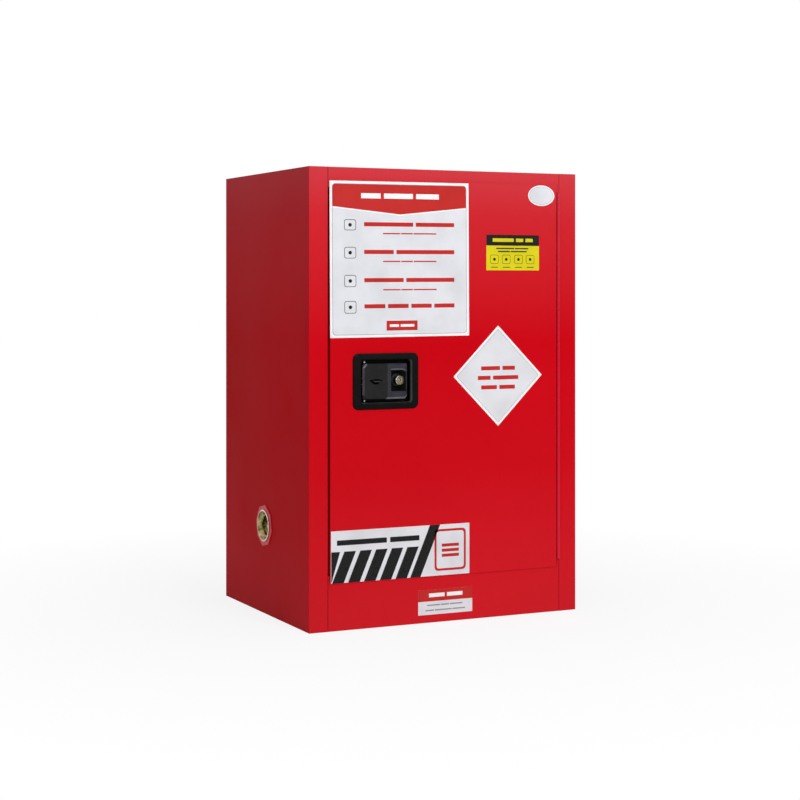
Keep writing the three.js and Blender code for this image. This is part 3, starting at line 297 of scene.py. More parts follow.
RED = powder_coat("red_powder_coat", (0.57, 0.002, 0.007), (0.64, 0.004, 0.011))
INNER_RED = powder_coat("red_inner_coat", (0.5, 0.006, 0.012), (0.56, 0.009, 0.016), roughness=0.42)
VENT_RED = powder_coat("thin_red_coat", (0.82, 0.08, 0.1), (0.97, 0.14, 0.16), roughness=0.3, ior=1.15)
# A lighter, pinker copy of the red paint for the hinge: a painted highlight on the lit barrel.
HINGE_RED_HIGHLIGHT = powder_coat("hinge_coat", (0.62, 0.01, 0.032), (0.7, 0.017, 0.048), roughness=0.3, ior=1.12)
ZINC = plated("bright_zinc", (0.5, 0.51, 0.53), (0.72, 0.73, 0.75))
SPRING_STEEL = plated("spring_wire", (0.32, 0.33, 0.35), (0.5, 0.51, 0.53), roughness=0.28)
NICKEL = plated("lock_nickel", (0.3, 0.29, 0.24), (0.6, 0.59, 0.53), roughness=0.16)
KEY_METAL = plated("worn_key_plug", (0.1, 0.085, 0.055), (0.42, 0.4, 0.33), roughness=0.2)
BRASS = plated("turned_brass", (0.14, 0.115, 0.045), (0.34, 0.28, 0.12), roughness=0.26)
GOLD = passivated()
# A lighter metal for the vent plug's outer rim: a painted highlight.
PLUG_RIM_HIGHLIGHT = plated("worn_plug_rim", (0.42, 0.31, 0.25), (0.78, 0.66, 0.56), roughness=0.24)
BLACK = moulding("black_moulding", (0.002, 0.002, 0.002), (0.004, 0.004, 0.004), 0.36)
SLATE = moulding("slate_moulding", (0.026, 0.026, 0.032), (0.042, 0.042, 0.052), 0.34)
RUBBER = rubber()
BLACK_FACE = moulding("black_paddle_face", (0.013, 0.013, 0.014), (0.019, 0.019, 0.02), 0.4)
# A lighter slate for the paddle's lit slopes and corner: a painted highlight.
SLATE_HIGHLIGHT = moulding("slate_polished_edge", (0.1, 0.1, 0.115), (0.15, 0.15, 0.17), 0.27)
# A lighter black for edges that face the light: a painted highlight.
BLACK_EDGE_HIGHLIGHT = moulding("black_worn_edge", (0.035, 0.035, 0.038), (0.055, 0.055, 0.06), 0.3)
DARK_STEEL = moulding("blackened_steel", (0.012, 0.012, 0.012), (0.03, 0.03, 0.03), 0.3, ior=1.35)
WHITE_FILM = vinyl("white_vinyl", (0.77, 0.78, 0.82))
EDGE_FILM = vinyl("bright_vinyl_edge", (0.95, 0.95, 0.96))
GREY_INK = vinyl("grey_ink", (0.3, 0.32, 0.35))
RED_INK = vinyl("red_ink", (0.55, 0.025, 0.022))
BLACK_INK = vinyl("black_ink", (0.012, 0.012, 0.013), 0.3)
YELLOW_INK = vinyl("yellow_ink", (0.72, 0.64, 0.012))


# Mesh tools

SAME_POINT = 0.002
FLAT_ANGLE = math.radians(0.5)
SHARP_ANGLE = math.radians(40)
BROAD_FACE = 3
FOLD_STEPS = 3


def even_normals(mesh):
    """Weighs normals by face area within each smooth run, so broad faces look flat up to rounded edges."""
    sharp = [edge.use_edge_sharp for edge in mesh.edges]
    run = list(range(len(mesh.loops)))

    def first(corner):
        while run[corner] != corner:
            run[corner] = run[run[corner]]
            corner = run[corner]
        return corner

    met = {}
    for face in mesh.polygons:
        corners = list(face.loop_indices)
        for corner, after in zip(corners, corners[1:] + corners[:1]):
            edge = mesh.loops[corner].edge_index
            ends = {mesh.loops[c].vertex_index: c for c in (corner, after)}
            other = met.setdefault(edge, ends)
            if other is not ends and not sharp[edge]:
                for vertex, end in ends.items():
                    run[first(end)] = first(other[vertex])
    sums = {}
    for face in mesh.polygons:
        weighed = face.normal * face.area
        for corner in face.loop_indices:
            sums.setdefault(first(corner), Vector())
            sums[first(corner)] += weighed
    mesh.normals_split_custom_set([sums[first(c)].normalized() for c in range(len(run))])


def finished(name, mesh, body, *materials, slot=None, stands_for=(), smooth=32):
    """A piece of the object: a mesh in the row frame that moves with a body."""
    piece = bpy.data.objects.new(name, mesh)
    bpy.context.scene.collection.objects.link(piece)
    numbers = [face.material_index for face in mesh.polygons]
    mesh.materials.clear()
    for material in materials:
        mesh.materials.append(material)
    mesh.polygons.foreach_set("material_index", numbers)
    mesh.shade_smooth()
    mesh.set_sharp_from_angle(angle=math.radians(smooth))
    even_normals(mesh)
    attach(piece, body)
    if stands_for:
        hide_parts(*stands_for)
    return piece


def stand_in(node, mesh, slot, *materials, smooth=32):
    """The finished piece that stands for a CAD node and moves with that node's body."""
    return finished(
        node + "_shape", mesh, BODY_OF[node], *materials, slot=slot, stands_for=(node,), smooth=smooth,
    )


def mesh_of(bm, name):
    mesh = bpy.data.meshes.new(name)
    bm.to_mesh(mesh)
    bm.free()
    return mesh


def together(name, *meshes):
    """Several meshes as one, each keeping its material numbers."""
    bm = bmesh.new()
    for mesh in meshes:
        bm.from_mesh(mesh)
        bpy.data.meshes.remove(mesh)
    return mesh_of(bm, name)


def evaluated(piece, name):
    """The piece's mesh with its modifiers in it. The piece itself goes."""
    graph = bpy.context.evaluated_depsgraph_get()
    mesh = bpy.data.meshes.new_from_object(piece.evaluated_get(graph), depsgraph=graph)
    mesh.name = name
    old = piece.data
    bpy.data.objects.remove(piece)
    if old.users == 0:
        bpy.data.meshes.remove(old)
    return mesh


def join_rings(bm, below, above):
    """Faces between two rings with as many points each."""
    count = len(below)
    for i in range(count):
        j = (i + 1) % count
        bm.faces.new((below[i], below[j], above[j], above[i]))


def loft(rings, material=0):
    """A closed mesh through rings of points in millimetres."""
    bm = bmesh.new()
    made = [[bm.verts.new(Vector(point) * MM) for point in ring] for ring in rings]
    for below, above in zip(made, made[1:]):
        join_rings(bm, below, above)
    bm.faces.new(list(reversed(made[0])))
    bm.faces.new(made[-1])
    bmesh.ops.recalc_face_normals(bm, faces=bm.faces)
    for face in bm.faces:
        face.material_index = material
    return mesh_of(bm, "loft")


def ring_point(axis, place, radius, angle, centre):
    """A point at a radius and an angle round an axis; all lengths but the point's are millimetres."""
    flat = (radius * math.cos(angle), radius * math.sin(angle))
    point = {"x": (place, *flat), "y": (flat[0], place, flat[1]), "z": (*flat, place)}[axis]
    return (Vector(point) + Vector(centre)) * MM


def turned(profile, axis, centre, sides):
    """A turned mesh: its profile is (radius, place) pairs on an axis, in millimetres."""
    bm = bmesh.new()
    spin = [
        [
            bm.verts.new(ring_point(axis, place, radius, 2 * math.pi * i / sides, centre))
            for i in range(sides if radius > 0 else 1)
        ]
        for radius, place in profile
    ]
    for first, second in zip(spin, spin[1:] + spin[:1]):
        if len(first) == 1 and len(second) == 1:
            continue
        for i in range(sides):
            j = (i + 1) % sides
            corners = [
                first[i % len(first)], first[j % len(first)],
                second[j % len(second)], second[i % len(second)],
            ]
            bm.faces.new(list(dict.fromkeys(corners)))
    bmesh.ops.recalc_face_normals(bm, faces=bm.faces)
    return mesh_of(bm, "turned")


def rod_profile(radius, low, high, edge=0.0):
    """A rod's profile for turning; its two edges may be cut off by a width."""
    if not edge:
        return [(0, low), (radius, low), (radius, high), (0, high)]
    return [
        (0, low), (radius - edge, low), (radius, low + edge),
        (radius, high - edge), (radius - edge, high), (0, high),
    ]


def rounded_outline(half_width, half_height, radius, steps, centre):
    """Points round a rectangle with round corners."""
    points = []
    for quarter, (side_x, side_z) in enumerate(((1, 1), (-1, 1), (-1, -1), (1, -1))):
        for step in range(steps + 1):
            angle = math.pi / 2 * (quarter + step / steps)
            points.append((
                centre[0] + side_x * (half_width - radius) + radius * math.cos(angle),
                centre[1] + side_z * (half_height - radius) + radius * math.sin(angle),
            ))
    return points


def prism_y(outline, front, back, material=0):
    """A flat outline in X and Z, thick along Y."""
    rings = [[(x, y, z) for x, z in outline] for y in (front, back)]
    return loft(rings, material=material)


def box_mesh(x, y, z, material=0):
    outline = [(x[0], z[0]), (x[1], z[0]), (x[1], z[1]), (x[0], z[1])]
    return prism_y(outline, *y, material=material)


def sharp_edges(bm):
    return [
        edge for edge in bm.edges
        if len(edge.link_faces) == 2 and edge.calc_face_angle(0) > SHARP_ANGLE
    ]


def bevel(bm, edges, width, steps, clamp=True):
    """Rounds edges by a width in millimetres."""
    bmesh.ops.bevel(
        bm, geom=edges, offset=width * MM, offset_type="OFFSET", segments=steps, profile=0.5,
        affect="EDGES", clamp_overlap=clamp, material=-1,
    )


def edged(mesh, width, steps=2):
    """The mesh with every sharp edge rounded by a width in millimetres."""
    bm = bmesh.new()
    bm.from_mesh(mesh)
    bevel(bm, sharp_edges(bm), width, steps)
    bm.to_mesh(mesh)
    bm.free()
    return mesh


def combined(operation, mesh, *tools):
    """A mesh joined with others, or cut by them."""
    piece = bpy.data.objects.new("combined", mesh)
    bpy.context.scene.collection.objects.link(piece)
    helpers = []
    for tool in tools:
        helper = bpy.data.objects.new("tool", tool)
        bpy.context.scene.collection.objects.link(helper)
        step = piece.modifiers.new("step", "BOOLEAN")
        step.operation = operation
        step.solver = "EXACT"
        step.object = helper
        helpers.append(helper)
    result = evaluated(piece, mesh.name)
    for helper in helpers:
        tool = helper.data
        bpy.data.objects.remove(helper)
        bpy.data.meshes.remove(tool)
    return result


def reach_from(edge, face):
    """How far a face spreads from one of its edges, in metres."""
    start = edge.verts[0].co
    along = (edge.verts[1].co - start).normalized()
    return max(((v.co - start) - along * (v.co - start).dot(along)).length for v in face.verts)


def merged_copy(node):
    """A CAD node's shape with its triangles merged and its flat faces whole."""
    bm = bmesh.new()
    bm.from_mesh(frame["nodes"][node].data)
    bmesh.ops.remove_doubles(bm, verts=bm.verts, dist=SAME_POINT * MM)
    bmesh.ops.dissolve_limit(bm, angle_limit=FLAT_ANGLE, verts=bm.verts, edges=bm.edges)
    return bm


def dressed(node, material, slot, edge=0.2, fold=0.0, smooth=32):
    """Stands for a CAD node: its folds between broad faces are rounded by fold, other edges by edge."""
    bm = merged_copy(node)
    sharp = [e for e in sharp_edges(bm) if e.is_convex]
    folds = []
    if fold:
        folds = [e for e in sharp if min(reach_from(e, f) for f in e.link_faces) > BROAD_FACE * MM]
    if folds:
        others = [e for e in sharp if e not in folds]
        bevel(bm, folds, fold, FOLD_STEPS, clamp=False)
        sharp = [e for e in others if e.is_valid]
    bevel(bm, sharp, edge, 1)
    stand_in(node, mesh_of(bm, node + "_shape"), slot, material, smooth=smooth)


# Geometry node trees

class Tree:
    """A geometry node tree with named inputs."""

    def __init__(self, name, *inputs):
        self.group = bpy.data.node_groups.new(name, "GeometryNodeTree")
        self.group.interface.new_socket("Geometry", in_out="INPUT", socket_type="NodeSocketGeometry")
        self.sockets = {
            label: self.group.interface.new_socket(label, in_out="INPUT", socket_type="NodeSocket" + kind)
            for label, kind in inputs
        }
        self.group.interface.new_socket("Geometry", in_out="OUTPUT", socket_type="NodeSocketGeometry")
        self.inputs = self.group.nodes.new("NodeGroupInput").outputs
        self.out = self.group.nodes.new("NodeGroupOutput").inputs["Geometry"]

    def node(self, kind, links):
        node = self.group.nodes.new("GeometryNode" + kind)
        for label, source in links.items():
            if hasattr(source, "links"):
                self.group.links.new(source, node.inputs[label])
            else:
                node.inputs[label].default_value = source
        return node.outputs[0]

    def end(self, geometry):
        """Realized instances in the chosen material are what the tree gives."""
        real = self.node("RealizeInstances", {"Geometry": geometry})
        painted = self.node("SetMaterial", {"Geometry": real, "Material": self.inputs["Finish"]})
        self.group.links.new(painted, self.out)
        return self

    def grown(self, name, start=None, **values):
        """The plain mesh that the tree makes with these inputs."""
        base = start or bpy.data.meshes.new(name)
        piece = bpy.data.objects.new(name, base)
        modifier = piece.modifiers.new(name, "NODES")
        modifier.node_group = self.group
        for label, value in values.items():
            modifier[self.sockets[label.replace("_", " ")].identifier] = value
        bpy.context.scene.collection.objects.link(piece)
        bpy.context.view_layer.update()
        return evaluated(piece, name)


def row_tree():
    tree = Tree(
        "row", ("Piece", "Object"), ("Count", "Int"), ("First", "Vector"), ("Step", "Vector"),
        ("Finish", "Material"),
    )
    shape = tree.group.nodes.new("GeometryNodeObjectInfo")
    tree.group.links.new(tree.inputs["Piece"], shape.inputs["Object"])
    points = tree.node("MeshLine", {
        "Count": tree.inputs["Count"],
        "Start Location": tree.inputs["First"],
        "Offset": tree.inputs["Step"],
    })
    return tree.end(tree.node("InstanceOnPoints", {"Points": points, "Instance": shape.outputs["Geometry"]}))


def scatter_tree():
    tree = Tree("set_at_points", ("Piece", "Object"), ("Finish", "Material"))
    shape = tree.group.nodes.new("GeometryNodeObjectInfo")
    tree.group.links.new(tree.inputs["Piece"], shape.inputs["Object"])
    points = tree.inputs["Geometry"]
    return tree.end(tree.node("InstanceOnPoints", {"Points": points, "Instance": shape.outputs["Geometry"]}))


def coil_tree():
    tree = Tree(
        "coil", ("Radius", "Float"), ("Wire radius", "Float"), ("Turns", "Float"), ("Rise", "Float"),
        ("Foot", "Vector"), ("Finish", "Material"),
    )
    spiral = tree.node("CurveSpiral", {
        "Resolution": 28, "Rotations": tree.inputs["Turns"], "Start Radius": tree.inputs["Radius"],
        "End Radius": tree.inputs["Radius"], "Height": tree.inputs["Rise"],
    })
    section = tree.node("CurvePrimitiveCircle", {"Resolution": 10, "Radius": tree.inputs["Wire radius"]})
    wire = tree.node("CurveToMesh", {"Curve": spiral, "Profile Curve": section, "Fill Caps": True})
    return tree.end(tree.node("Transform", {"Geometry": wire, "Translation": tree.inputs["Foot"]}))


ROW = row_tree()
SCATTER = scatter_tree()
COIL = coil_tree()


def pattern(mesh):
    """An object that a tree can repeat."""
    return bpy.data.objects.new("pattern", mesh)


def repeated(mesh, count, first, step, finish):
    """Copies of a mesh in a row, in millimetres."""
    source = pattern(mesh)
    made = ROW.grown(
        "row", Piece=source, Count=count, First=Vector(first) * MM, Step=Vector(step) * MM, Finish=finish,
    )
    bpy.data.objects.remove(source)
    bpy.data.meshes.remove(mesh)
    return made


def set_at(mesh, places, finish):
    """Copies of a mesh at places in millimetres."""
    source = pattern(mesh)
    spots = bpy.data.meshes.new("spots")
    spots.from_pydata([Vector(place) * MM for place in places], [], [])
    made = SCATTER.grown("set", start=spots, Piece=source, Finish=finish)
    bpy.data.objects.remove(source)
    bpy.data.meshes.remove(mesh)
    return made


def coil(radius, wire, turns, rise, foot, finish):
    """A coil of round wire that rises along Z from its foot, in millimetres."""
    return COIL.grown(
        "coil", Radius=radius * MM, Wire_radius=wire / 2 * MM, Turns=float(turns), Rise=rise * MM,
        Foot=Vector(foot) * MM, Finish=finish,
    )


# Shell, lining and shelf

for node in ("left_side_panel", "right_side_panel", "top_panel", "sill_panel"):
    dressed(node, RED, edge=0.35, fold=1.1, slot="red_paint")
for node in ("back_panel", "base_panel"):
    dressed(node, RED, edge=0.2, fold=0.8, slot="red_paint")
for node in ("left_liner", "right_liner", "back_liner", "ceiling_liner", "sump_pan"):
    dressed(node, INNER_RED, edge=0.3, slot="red_paint")
dressed("shelf", ZINC, edge=0.3, fold=1.0, slot="zinc")
for side in ("left", "right"):
    for end in ("front", "rear"):
        dressed(f"shelf_standard_{side}_{end}", ZINC, edge=0.2, fold=0.8, slot="zinc")
        dressed(f"shelf_clip_{side}_{end}", ZINC, edge=0.3, slot="zinc")
for node in ("door_stiffener_middle", "door_stiffener_hinge_side", "upper_rod_guide", "lower_rod_guide"):
    dressed(node, ZINC, edge=0.2, fold=0.8, slot="zinc")

# Door

dressed("door_skin", RED, edge=0.35, fold=1.1, slot="red_paint")
dressed("door_inner_panel", INNER_RED, edge=0.2, fold=1.0, slot="red_paint")
for node in ("latch_base", "latch_slide", "strike_plate"):
    dressed(node, ZINC, edge=0.2, slot="zinc")
for node in ("upper_rod", "lower_rod"):
    dressed(node, ZINC, edge=0.3, slot="zinc", smooth=40)
dressed("lock_cam", ZINC, edge=0.2, slot="zinc")
# The hinge pin is dark steel; seen in the gaps between knuckles, its dark colour also stands in for the
# shade there.
dressed("hinge_pin", DARK_STEEL, edge=0.1, slot="zinc", smooth=70)


def round_steps(size, steps=5):
    """(along, across) pairs that take a straight side round into a flat face."""
    turns = [math.pi / 2 * i / steps for i in range(steps + 1)]
    return [(size * math.sin(a), size * (1 - math.cos(a))) for a in turns]


def paint(mesh, number, test):
    """Gives a material number to the faces whose centre (millimetres) and normal pass a test."""
    for face in mesh.polygons:
        if test(face.center / MM, face.normal):
            face.material_index = number


# Handle dish

HANDLE = on_front("handle_dish")
SKIN_FRONT = spans("door_skin")[1][0]
BEZEL = (70, 54.5)
BEZEL_CORNER = 12
BEZEL_PROUD = 4
BEZEL_EDGE = 2.4
BEZEL_OVERLAP = 0.6
BEZEL_FACE_INSET = 13
OPENING = (52.5, 41)
OPENING_CORNER = 5
LIP_ROUND = 4.6
DISH_WALL = 2
DISH_FLOOR = 20
SEAM = 0.3
PIVOT = tuple(middle("paddle_pin")[:2])
PIVOT_HOLE = 2.4
LOCK = on_front("lock_body")
LOCK_HOLE = 10
TAIL_SLOT_X = (-182, -165.2)
TAIL_SLOT_HALF = 7
THROUGH_FLOOR = (-2, 4)


def handle_ring(half, corner, shrink, depth):
    """Points round a rounded rectangle, shrunk all round, at a depth behind the door skin's face."""
    half_x, half_z = half[0] - shrink, half[1] - shrink
    outline = rounded_outline(half_x, half_z, max(corner - shrink, 0.4), 7, HANDLE)
    return [(x, SKIN_FRONT + depth, z) for x, z in outline]


def bezel_and_well():
    shoulder = BEZEL_EDGE - BEZEL_PROUD + BEZEL_OVERLAP
    bezel = loft(
        [handle_ring(BEZEL, BEZEL_CORNER, 0, -SEAM)]
        + [
            handle_ring(BEZEL, BEZEL_CORNER, across, shoulder - along)
            for along, across in round_steps(BEZEL_EDGE)
        ]
        + [handle_ring(BEZEL, BEZEL_CORNER, BEZEL_FACE_INSET, -BEZEL_PROUD)]
    )
    outer = [side + DISH_WALL for side in OPENING]
    corner = OPENING_CORNER + DISH_WALL
    back = DISH_FLOOR + DISH_WALL
    well = loft([
        handle_ring(outer, corner, 0, -BEZEL_PROUD / 2),
        handle_ring(outer, corner, 0, back - 1),
        handle_ring(outer, corner, 0.3, back - 0.3),
        handle_ring(outer, corner, 1, back),
    ])
    return combined("UNION", bezel, well)


def dish_hollow():
    return loft(
        [handle_ring(OPENING, OPENING_CORNER, -LIP_ROUND, -BEZEL_PROUD - 1)]
        + [
            handle_ring(OPENING, OPENING_CORNER, across - LIP_ROUND, along - BEZEL_PROUD)
            for across, along in round_steps(LIP_ROUND)
        ]
        + [
            handle_ring(OPENING, OPENING_CORNER, 0, DISH_FLOOR - 2),
            handle_ring(OPENING, OPENING_CORNER, 0.6, DISH_FLOOR - 0.6),
            handle_ring(OPENING, OPENING_CORNER, 2, DISH_FLOOR),
        ]
    )


def handle_dish():
    reach = OPENING[1] + 2 * DISH_WALL
    through = [SKIN_FRONT + DISH_FLOOR + depth for depth in THROUGH_FLOOR]
    shape = combined(
        "DIFFERENCE",
        bezel_and_well(),
        dish_hollow(),
        turned(rod_profile(PIVOT_HOLE, -reach, reach), "z", (*PIVOT, HANDLE[1]), 24),
        turned(rod_profile(LOCK_HOLE, *through), "y", (LOCK[0], 0, LOCK[1]), 40),
        box_mesh(TAIL_SLOT_X, through, (HANDLE[1] - TAIL_SLOT_HALF, HANDLE[1] + TAIL_SLOT_HALF)),
    )
    lip_front = SKIN_FRONT - BEZEL_PROUD
    lip_end = lip_front + LIP_ROUND

    # Painted highlight: the rounded lip faces that face left or up take the lighter black, as if lit from
    # the left and above.
    def rubbing_and_highlight(at, way):
        rounded = lip_front + 0.3 < at.y < lip_end + 1 and way.y < -0.1
        beside = [abs(at.x - HANDLE[0]), abs(at.z - HANDLE[1])]
        within = all(away < side + LIP_ROUND for away, side in zip(beside, OPENING))
        return rounded and within and (way.x < -0.35 or way.z > 0.75)

    paint(shape, 1, rubbing_and_highlight)
    stand_in("handle_dish", shape, "black_moulding", BLACK, BLACK_EDGE_HIGHLIGHT)


handle_dish()

# Paddle: a flat part with the padlock slot, a raised part with the key window, barrels and tail

PADDLE_X, (RAISED_FRONT, TAIL_END), PADDLE_Z = spans("paddle")
PADDLE_Y = (-227.6, -224.6)
PADDLE_CHAMFER = 8
EDGE_SLOPE = (4.4, 1.3)
RAISED_LEFT = -133.4
RAISED_FOOT = 2.4
WINDOW_X = (-124.8, -92.3)
WINDOW_Z = (457.3, 498.3)
WINDOW_ARCH = (11, 6)
WINDOW_BEVEL = (4.2, 3, 2.2)
EYE_SLOT = (-156, 478, 14, 3.2, 7)
FINGER_LIP = (-91.6, -217.6)
BARREL = 4.5
BARREL_EDGE = 0.4
BARRELS_Z = ((499, 510), (471, 483), (444, 455))
TAIL_X = (-180, -176)
TAIL_Z = (472, 482)


def window_outline(grow=0.0):
    """The key window: square but for its upper right, which is an arc. Its top may grow upwards."""
    (left, right), (low, high) = WINDOW_X, WINDOW_Z
    reach, drop = WINDOW_ARCH
    arch = [
        (right - reach * t * t, high + grow - drop * (1 - t) ** 2)
        for t in (i / 10 for i in range(11))
    ]
    return [(left, low - grow / 3), (right, low - grow / 3)] + arch + [(left, high + grow)]


def slot_outline():
    """The padlock slot: nearly flat above, bellied below."""
    x, z, half, rise, drop = EYE_SLOT
    steps = [math.pi * i / 16 for i in range(17)]
    upper = [(x + half * math.cos(a), z + rise * math.sin(a)) for a in steps]
    lower = [(x - half * math.cos(a), z - drop * math.sin(a) ** 3) for a in steps[1:-1]]
    return upper + lower


def flat_part():
    """The paddle's left part: a plate with two cut corners and sloping edges."""
    left, cut = PADDLE_X[0], PADDLE_CHAMFER
    low, high = PADDLE_Z
    right = RAISED_LEFT + 1
    sections = (
        (PADDLE_Y[1], 0, 0), (PADDLE_Y[0] + EDGE_SLOPE[1], 0, 0), (PADDLE_Y[0], EDGE_SLOPE[0], 1.2),
    )
    return edged(loft([
        [(x, y, z) for x, z in (
            (left + cut + side / 2, low + end), (right, low + end),
            (right, high - end), (left + cut + side / 2, high - end),
            (left + side, high - cut), (left + side, low + cut),
        )]
        for y, side, end in sections
    ]), 0.4)


def raised_part():
    """The paddle's right part, which stands proud round the key window, with cut right corners."""
    left, right = RAISED_LEFT - RAISED_FOOT, PADDLE_X[1]
    low, high = PADDLE_Z
    sections = (
        (PADDLE_Y[1], 0, 0, 0, 0), (PADDLE_Y[0] + 0.1, 0, 0, 0, 0), (RAISED_FRONT, 3.6, 2.2, 3.4, 1.2),
    )
    return loft([
        [(x, y, z) for x, z in (
            (left + side, low + bottom), (right - 5 - end / 2, low + bottom),
            (right - end, low + 5 + bottom / 2), (right - end, high - 2.5 - top),
            (right - 2.5 - end, high - top), (left + side, high - top),
        )]
        for y, side, end, bottom, top in sections
    ])


def paddle():
    (left, right), (low, high) = PADDLE_X, PADDLE_Z
    lip_z = (low + 5, high - 2.5)
    lip = edged(box_mesh((FINGER_LIP[0], right), (PADDLE_Y[0] + 1, FINGER_LIP[1]), lip_z), 0.6)
    barrels = [
        turned(rod_profile(BARREL, a, b, BARREL_EDGE), "z", (*PIVOT, 0), 32) for a, b in BARRELS_Z
    ]
    tail = edged(box_mesh(TAIL_X, (PIVOT[1], TAIL_END), TAIL_Z), 0.4)
    front, back = RAISED_FRONT - 1, PADDLE_Y[1] + 1
    rise, lip_rise, depth = WINDOW_BEVEL
    window = loft([
        [(x, y, z) for x, z in window_outline(grow)]
        for y, grow in ((front, rise), (RAISED_FRONT, lip_rise), (RAISED_FRONT + depth, 0), (back + 8, 0))
    ])
    slot = loft([[(x, y, z) for x, z in slot_outline()] for y in (front, back)])
    bore = turned(rod_profile(PIVOT_HOLE, low - 1, high + 1), "z", (*PIVOT, 0), 24)
    solid = combined("UNION", flat_part(), raised_part(), lip, tail, *barrels)
    shape = combined("DIFFERENCE", solid, window, slot, bore)

    def raised(at, way):
        return at.x > RAISED_LEFT - 0.5

    def lit_raised_slopes(at, way):
        return at.x > RAISED_LEFT and at.y < PADDLE_Y[0] and way.y < -0.3 and way.z < -0.25

    def lit_left_slope(at, way):
        return at.x < left + EDGE_SLOPE[0] and -0.98 < way.y < -0.3

    def lit_upper_left_corner(at, way):
        sloping = -0.98 < way.y < -0.3
        return at.x < left + PADDLE_CHAMFER + 2 and sloping and way.x < -0.1 and way.z > 0.1

    # Numbers 2 and 3 are painted highlights: lighter slate on the raised part's lower slopes and the upper
    # left cut corner, lighter black on the left slope.
    for number, test in ((1, raised), (2, lit_raised_slopes), (3, lit_left_slope), (2, lit_upper_left_corner)):
        paint(shape, number, test)
    stand_in("paddle", shape, "black_moulding", BLACK_FACE, SLATE, SLATE_HIGHLIGHT, BLACK_EDGE_HIGHLIGHT)


paddle()

PIN = 2
PIN_HALF = 42.7
PIN_GLINT_BAND = (36.6, 38.2)
PADDLE_COIL = (3.2, 1, 5, 14.4)
PADDLE_COIL_FOOT = 483.8
ROD_COIL_WIRE = 1.2
ROD_COIL_TURNS = 7


def pivot_pin():
    bevel = 0.5
    half = [(PIN, z) for z in (*PIN_GLINT_BAND, PIN_HALF - bevel)] + [(PIN - bevel, PIN_HALF), (0, PIN_HALF)]
    profile = [(r, -z) for r, z in reversed(half)] + half
    pin = turned(profile, "z", (*PIVOT, HANDLE[1]), 28)
    # A band of bright zinc near each end of the dark pin is a painted glint; the pin has the same radius
    # there.
    paint(pin, 1, lambda at, way: PIN_GLINT_BAND[0] < abs(at.z - HANDLE[1]) < PIN_GLINT_BAND[1])
    stand_in("paddle_pin", pin, "zinc", DARK_STEEL, ZINC)


def paddle_spring():
    spring = coil(*PADDLE_COIL, (*PIVOT, PADDLE_COIL_FOOT), SPRING_STEEL)
    stand_in("paddle_spring", spring, "spring_wire", SPRING_STEEL, smooth=70)


def rod_spring():
    """The lower rod's spring, which the guide holds at its top and the drawn rod shortens from below; it is
    made here as a coil at full length.
    """
    low, high = (Vector(corner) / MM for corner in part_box("rod_spring"))
    foot = (low + high) / 2
    foot.z = low.z + ROD_COIL_WIRE / 2
    radius = (high.x - low.x - ROD_COIL_WIRE) / 2
    length = high.z - low.z
    wire = coil(radius, ROD_COIL_WIRE, ROD_COIL_TURNS, length - ROD_COIL_WIRE, foot, SPRING_STEEL)
    spring = finished(
        "rod_spring_shape", wire, "door", SPRING_STEEL,
        slot="spring_wire", stands_for=("rod_spring",), smooth=70,
    )
    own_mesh(spring)


pivot_pin()
paddle_spring()
dressed("padlock_eye", DARK_STEEL, edge=0.4, slot="zinc")
rod_spring()

# Lock: a blackened barrel with a nickelled front edge, a brass face ring and a plug with a keyway

LOCK_FACE, LOCK_BACK = spans("lock_body")[1]
LOCK_BORE = 6.9
LOCK_RING = 7.9
LOCK_BARREL = 9.5
LOCK_BEVEL = 1.4
LOCK_FLANGE = (12.5, -208.9, -206.9)
INDEX_MARK_Z = (-1.6, 0.6)
KEY_PLUG = (6.5, 4)
KEY_PLUG_BACK = spans("lock_plug")[1][1]
KEY_DISH = 0.5
KEYWAY = ((-0.8, 0.8), (-4, 4))
KEYWAY_WARD = ((0.5, 1.6), (-1.2, 1.6))
KEYWAY_DEPTH = (-1, 3)


def lock_body():
    x, z = LOCK
    rim, rim_front, rim_back = LOCK_FLANGE
    body = turned(
        [
            (LOCK_BORE, LOCK_FACE), (LOCK_RING, LOCK_FACE), (LOCK_RING + 0.2, LOCK_FACE + 0.3),
            (LOCK_BARREL - 0.3, LOCK_FACE + 0.9), (LOCK_BARREL, LOCK_FACE + LOCK_BEVEL),
            (LOCK_BARREL, rim_front), (rim - 0.3, rim_front), (rim, rim_front + 0.3), (rim, rim_back),
            (LOCK_BARREL, rim_back), (LOCK_BARREL, LOCK_BACK), (LOCK_BORE, LOCK_BACK),
        ],
        "y", (x, 0, z), 56,
    )
    paint(body, 2, lambda at, way: at.y > LOCK_FACE + LOCK_BEVEL)
    mark = box_mesh(
        (x - LOCK_BARREL - 0.5, x - LOCK_RING - 0.1), (LOCK_FACE - 1, LOCK_FACE + LOCK_BEVEL + 0.1),
        [z + height for height in INDEX_MARK_Z], material=2,
    )
    body = combined("DIFFERENCE", body, mark)
    paint(body, 1, lambda at, way: at.y < LOCK_FACE + 0.1)
    stand_in("lock_body", body, "lock_metal", NICKEL, BRASS, DARK_STEEL)


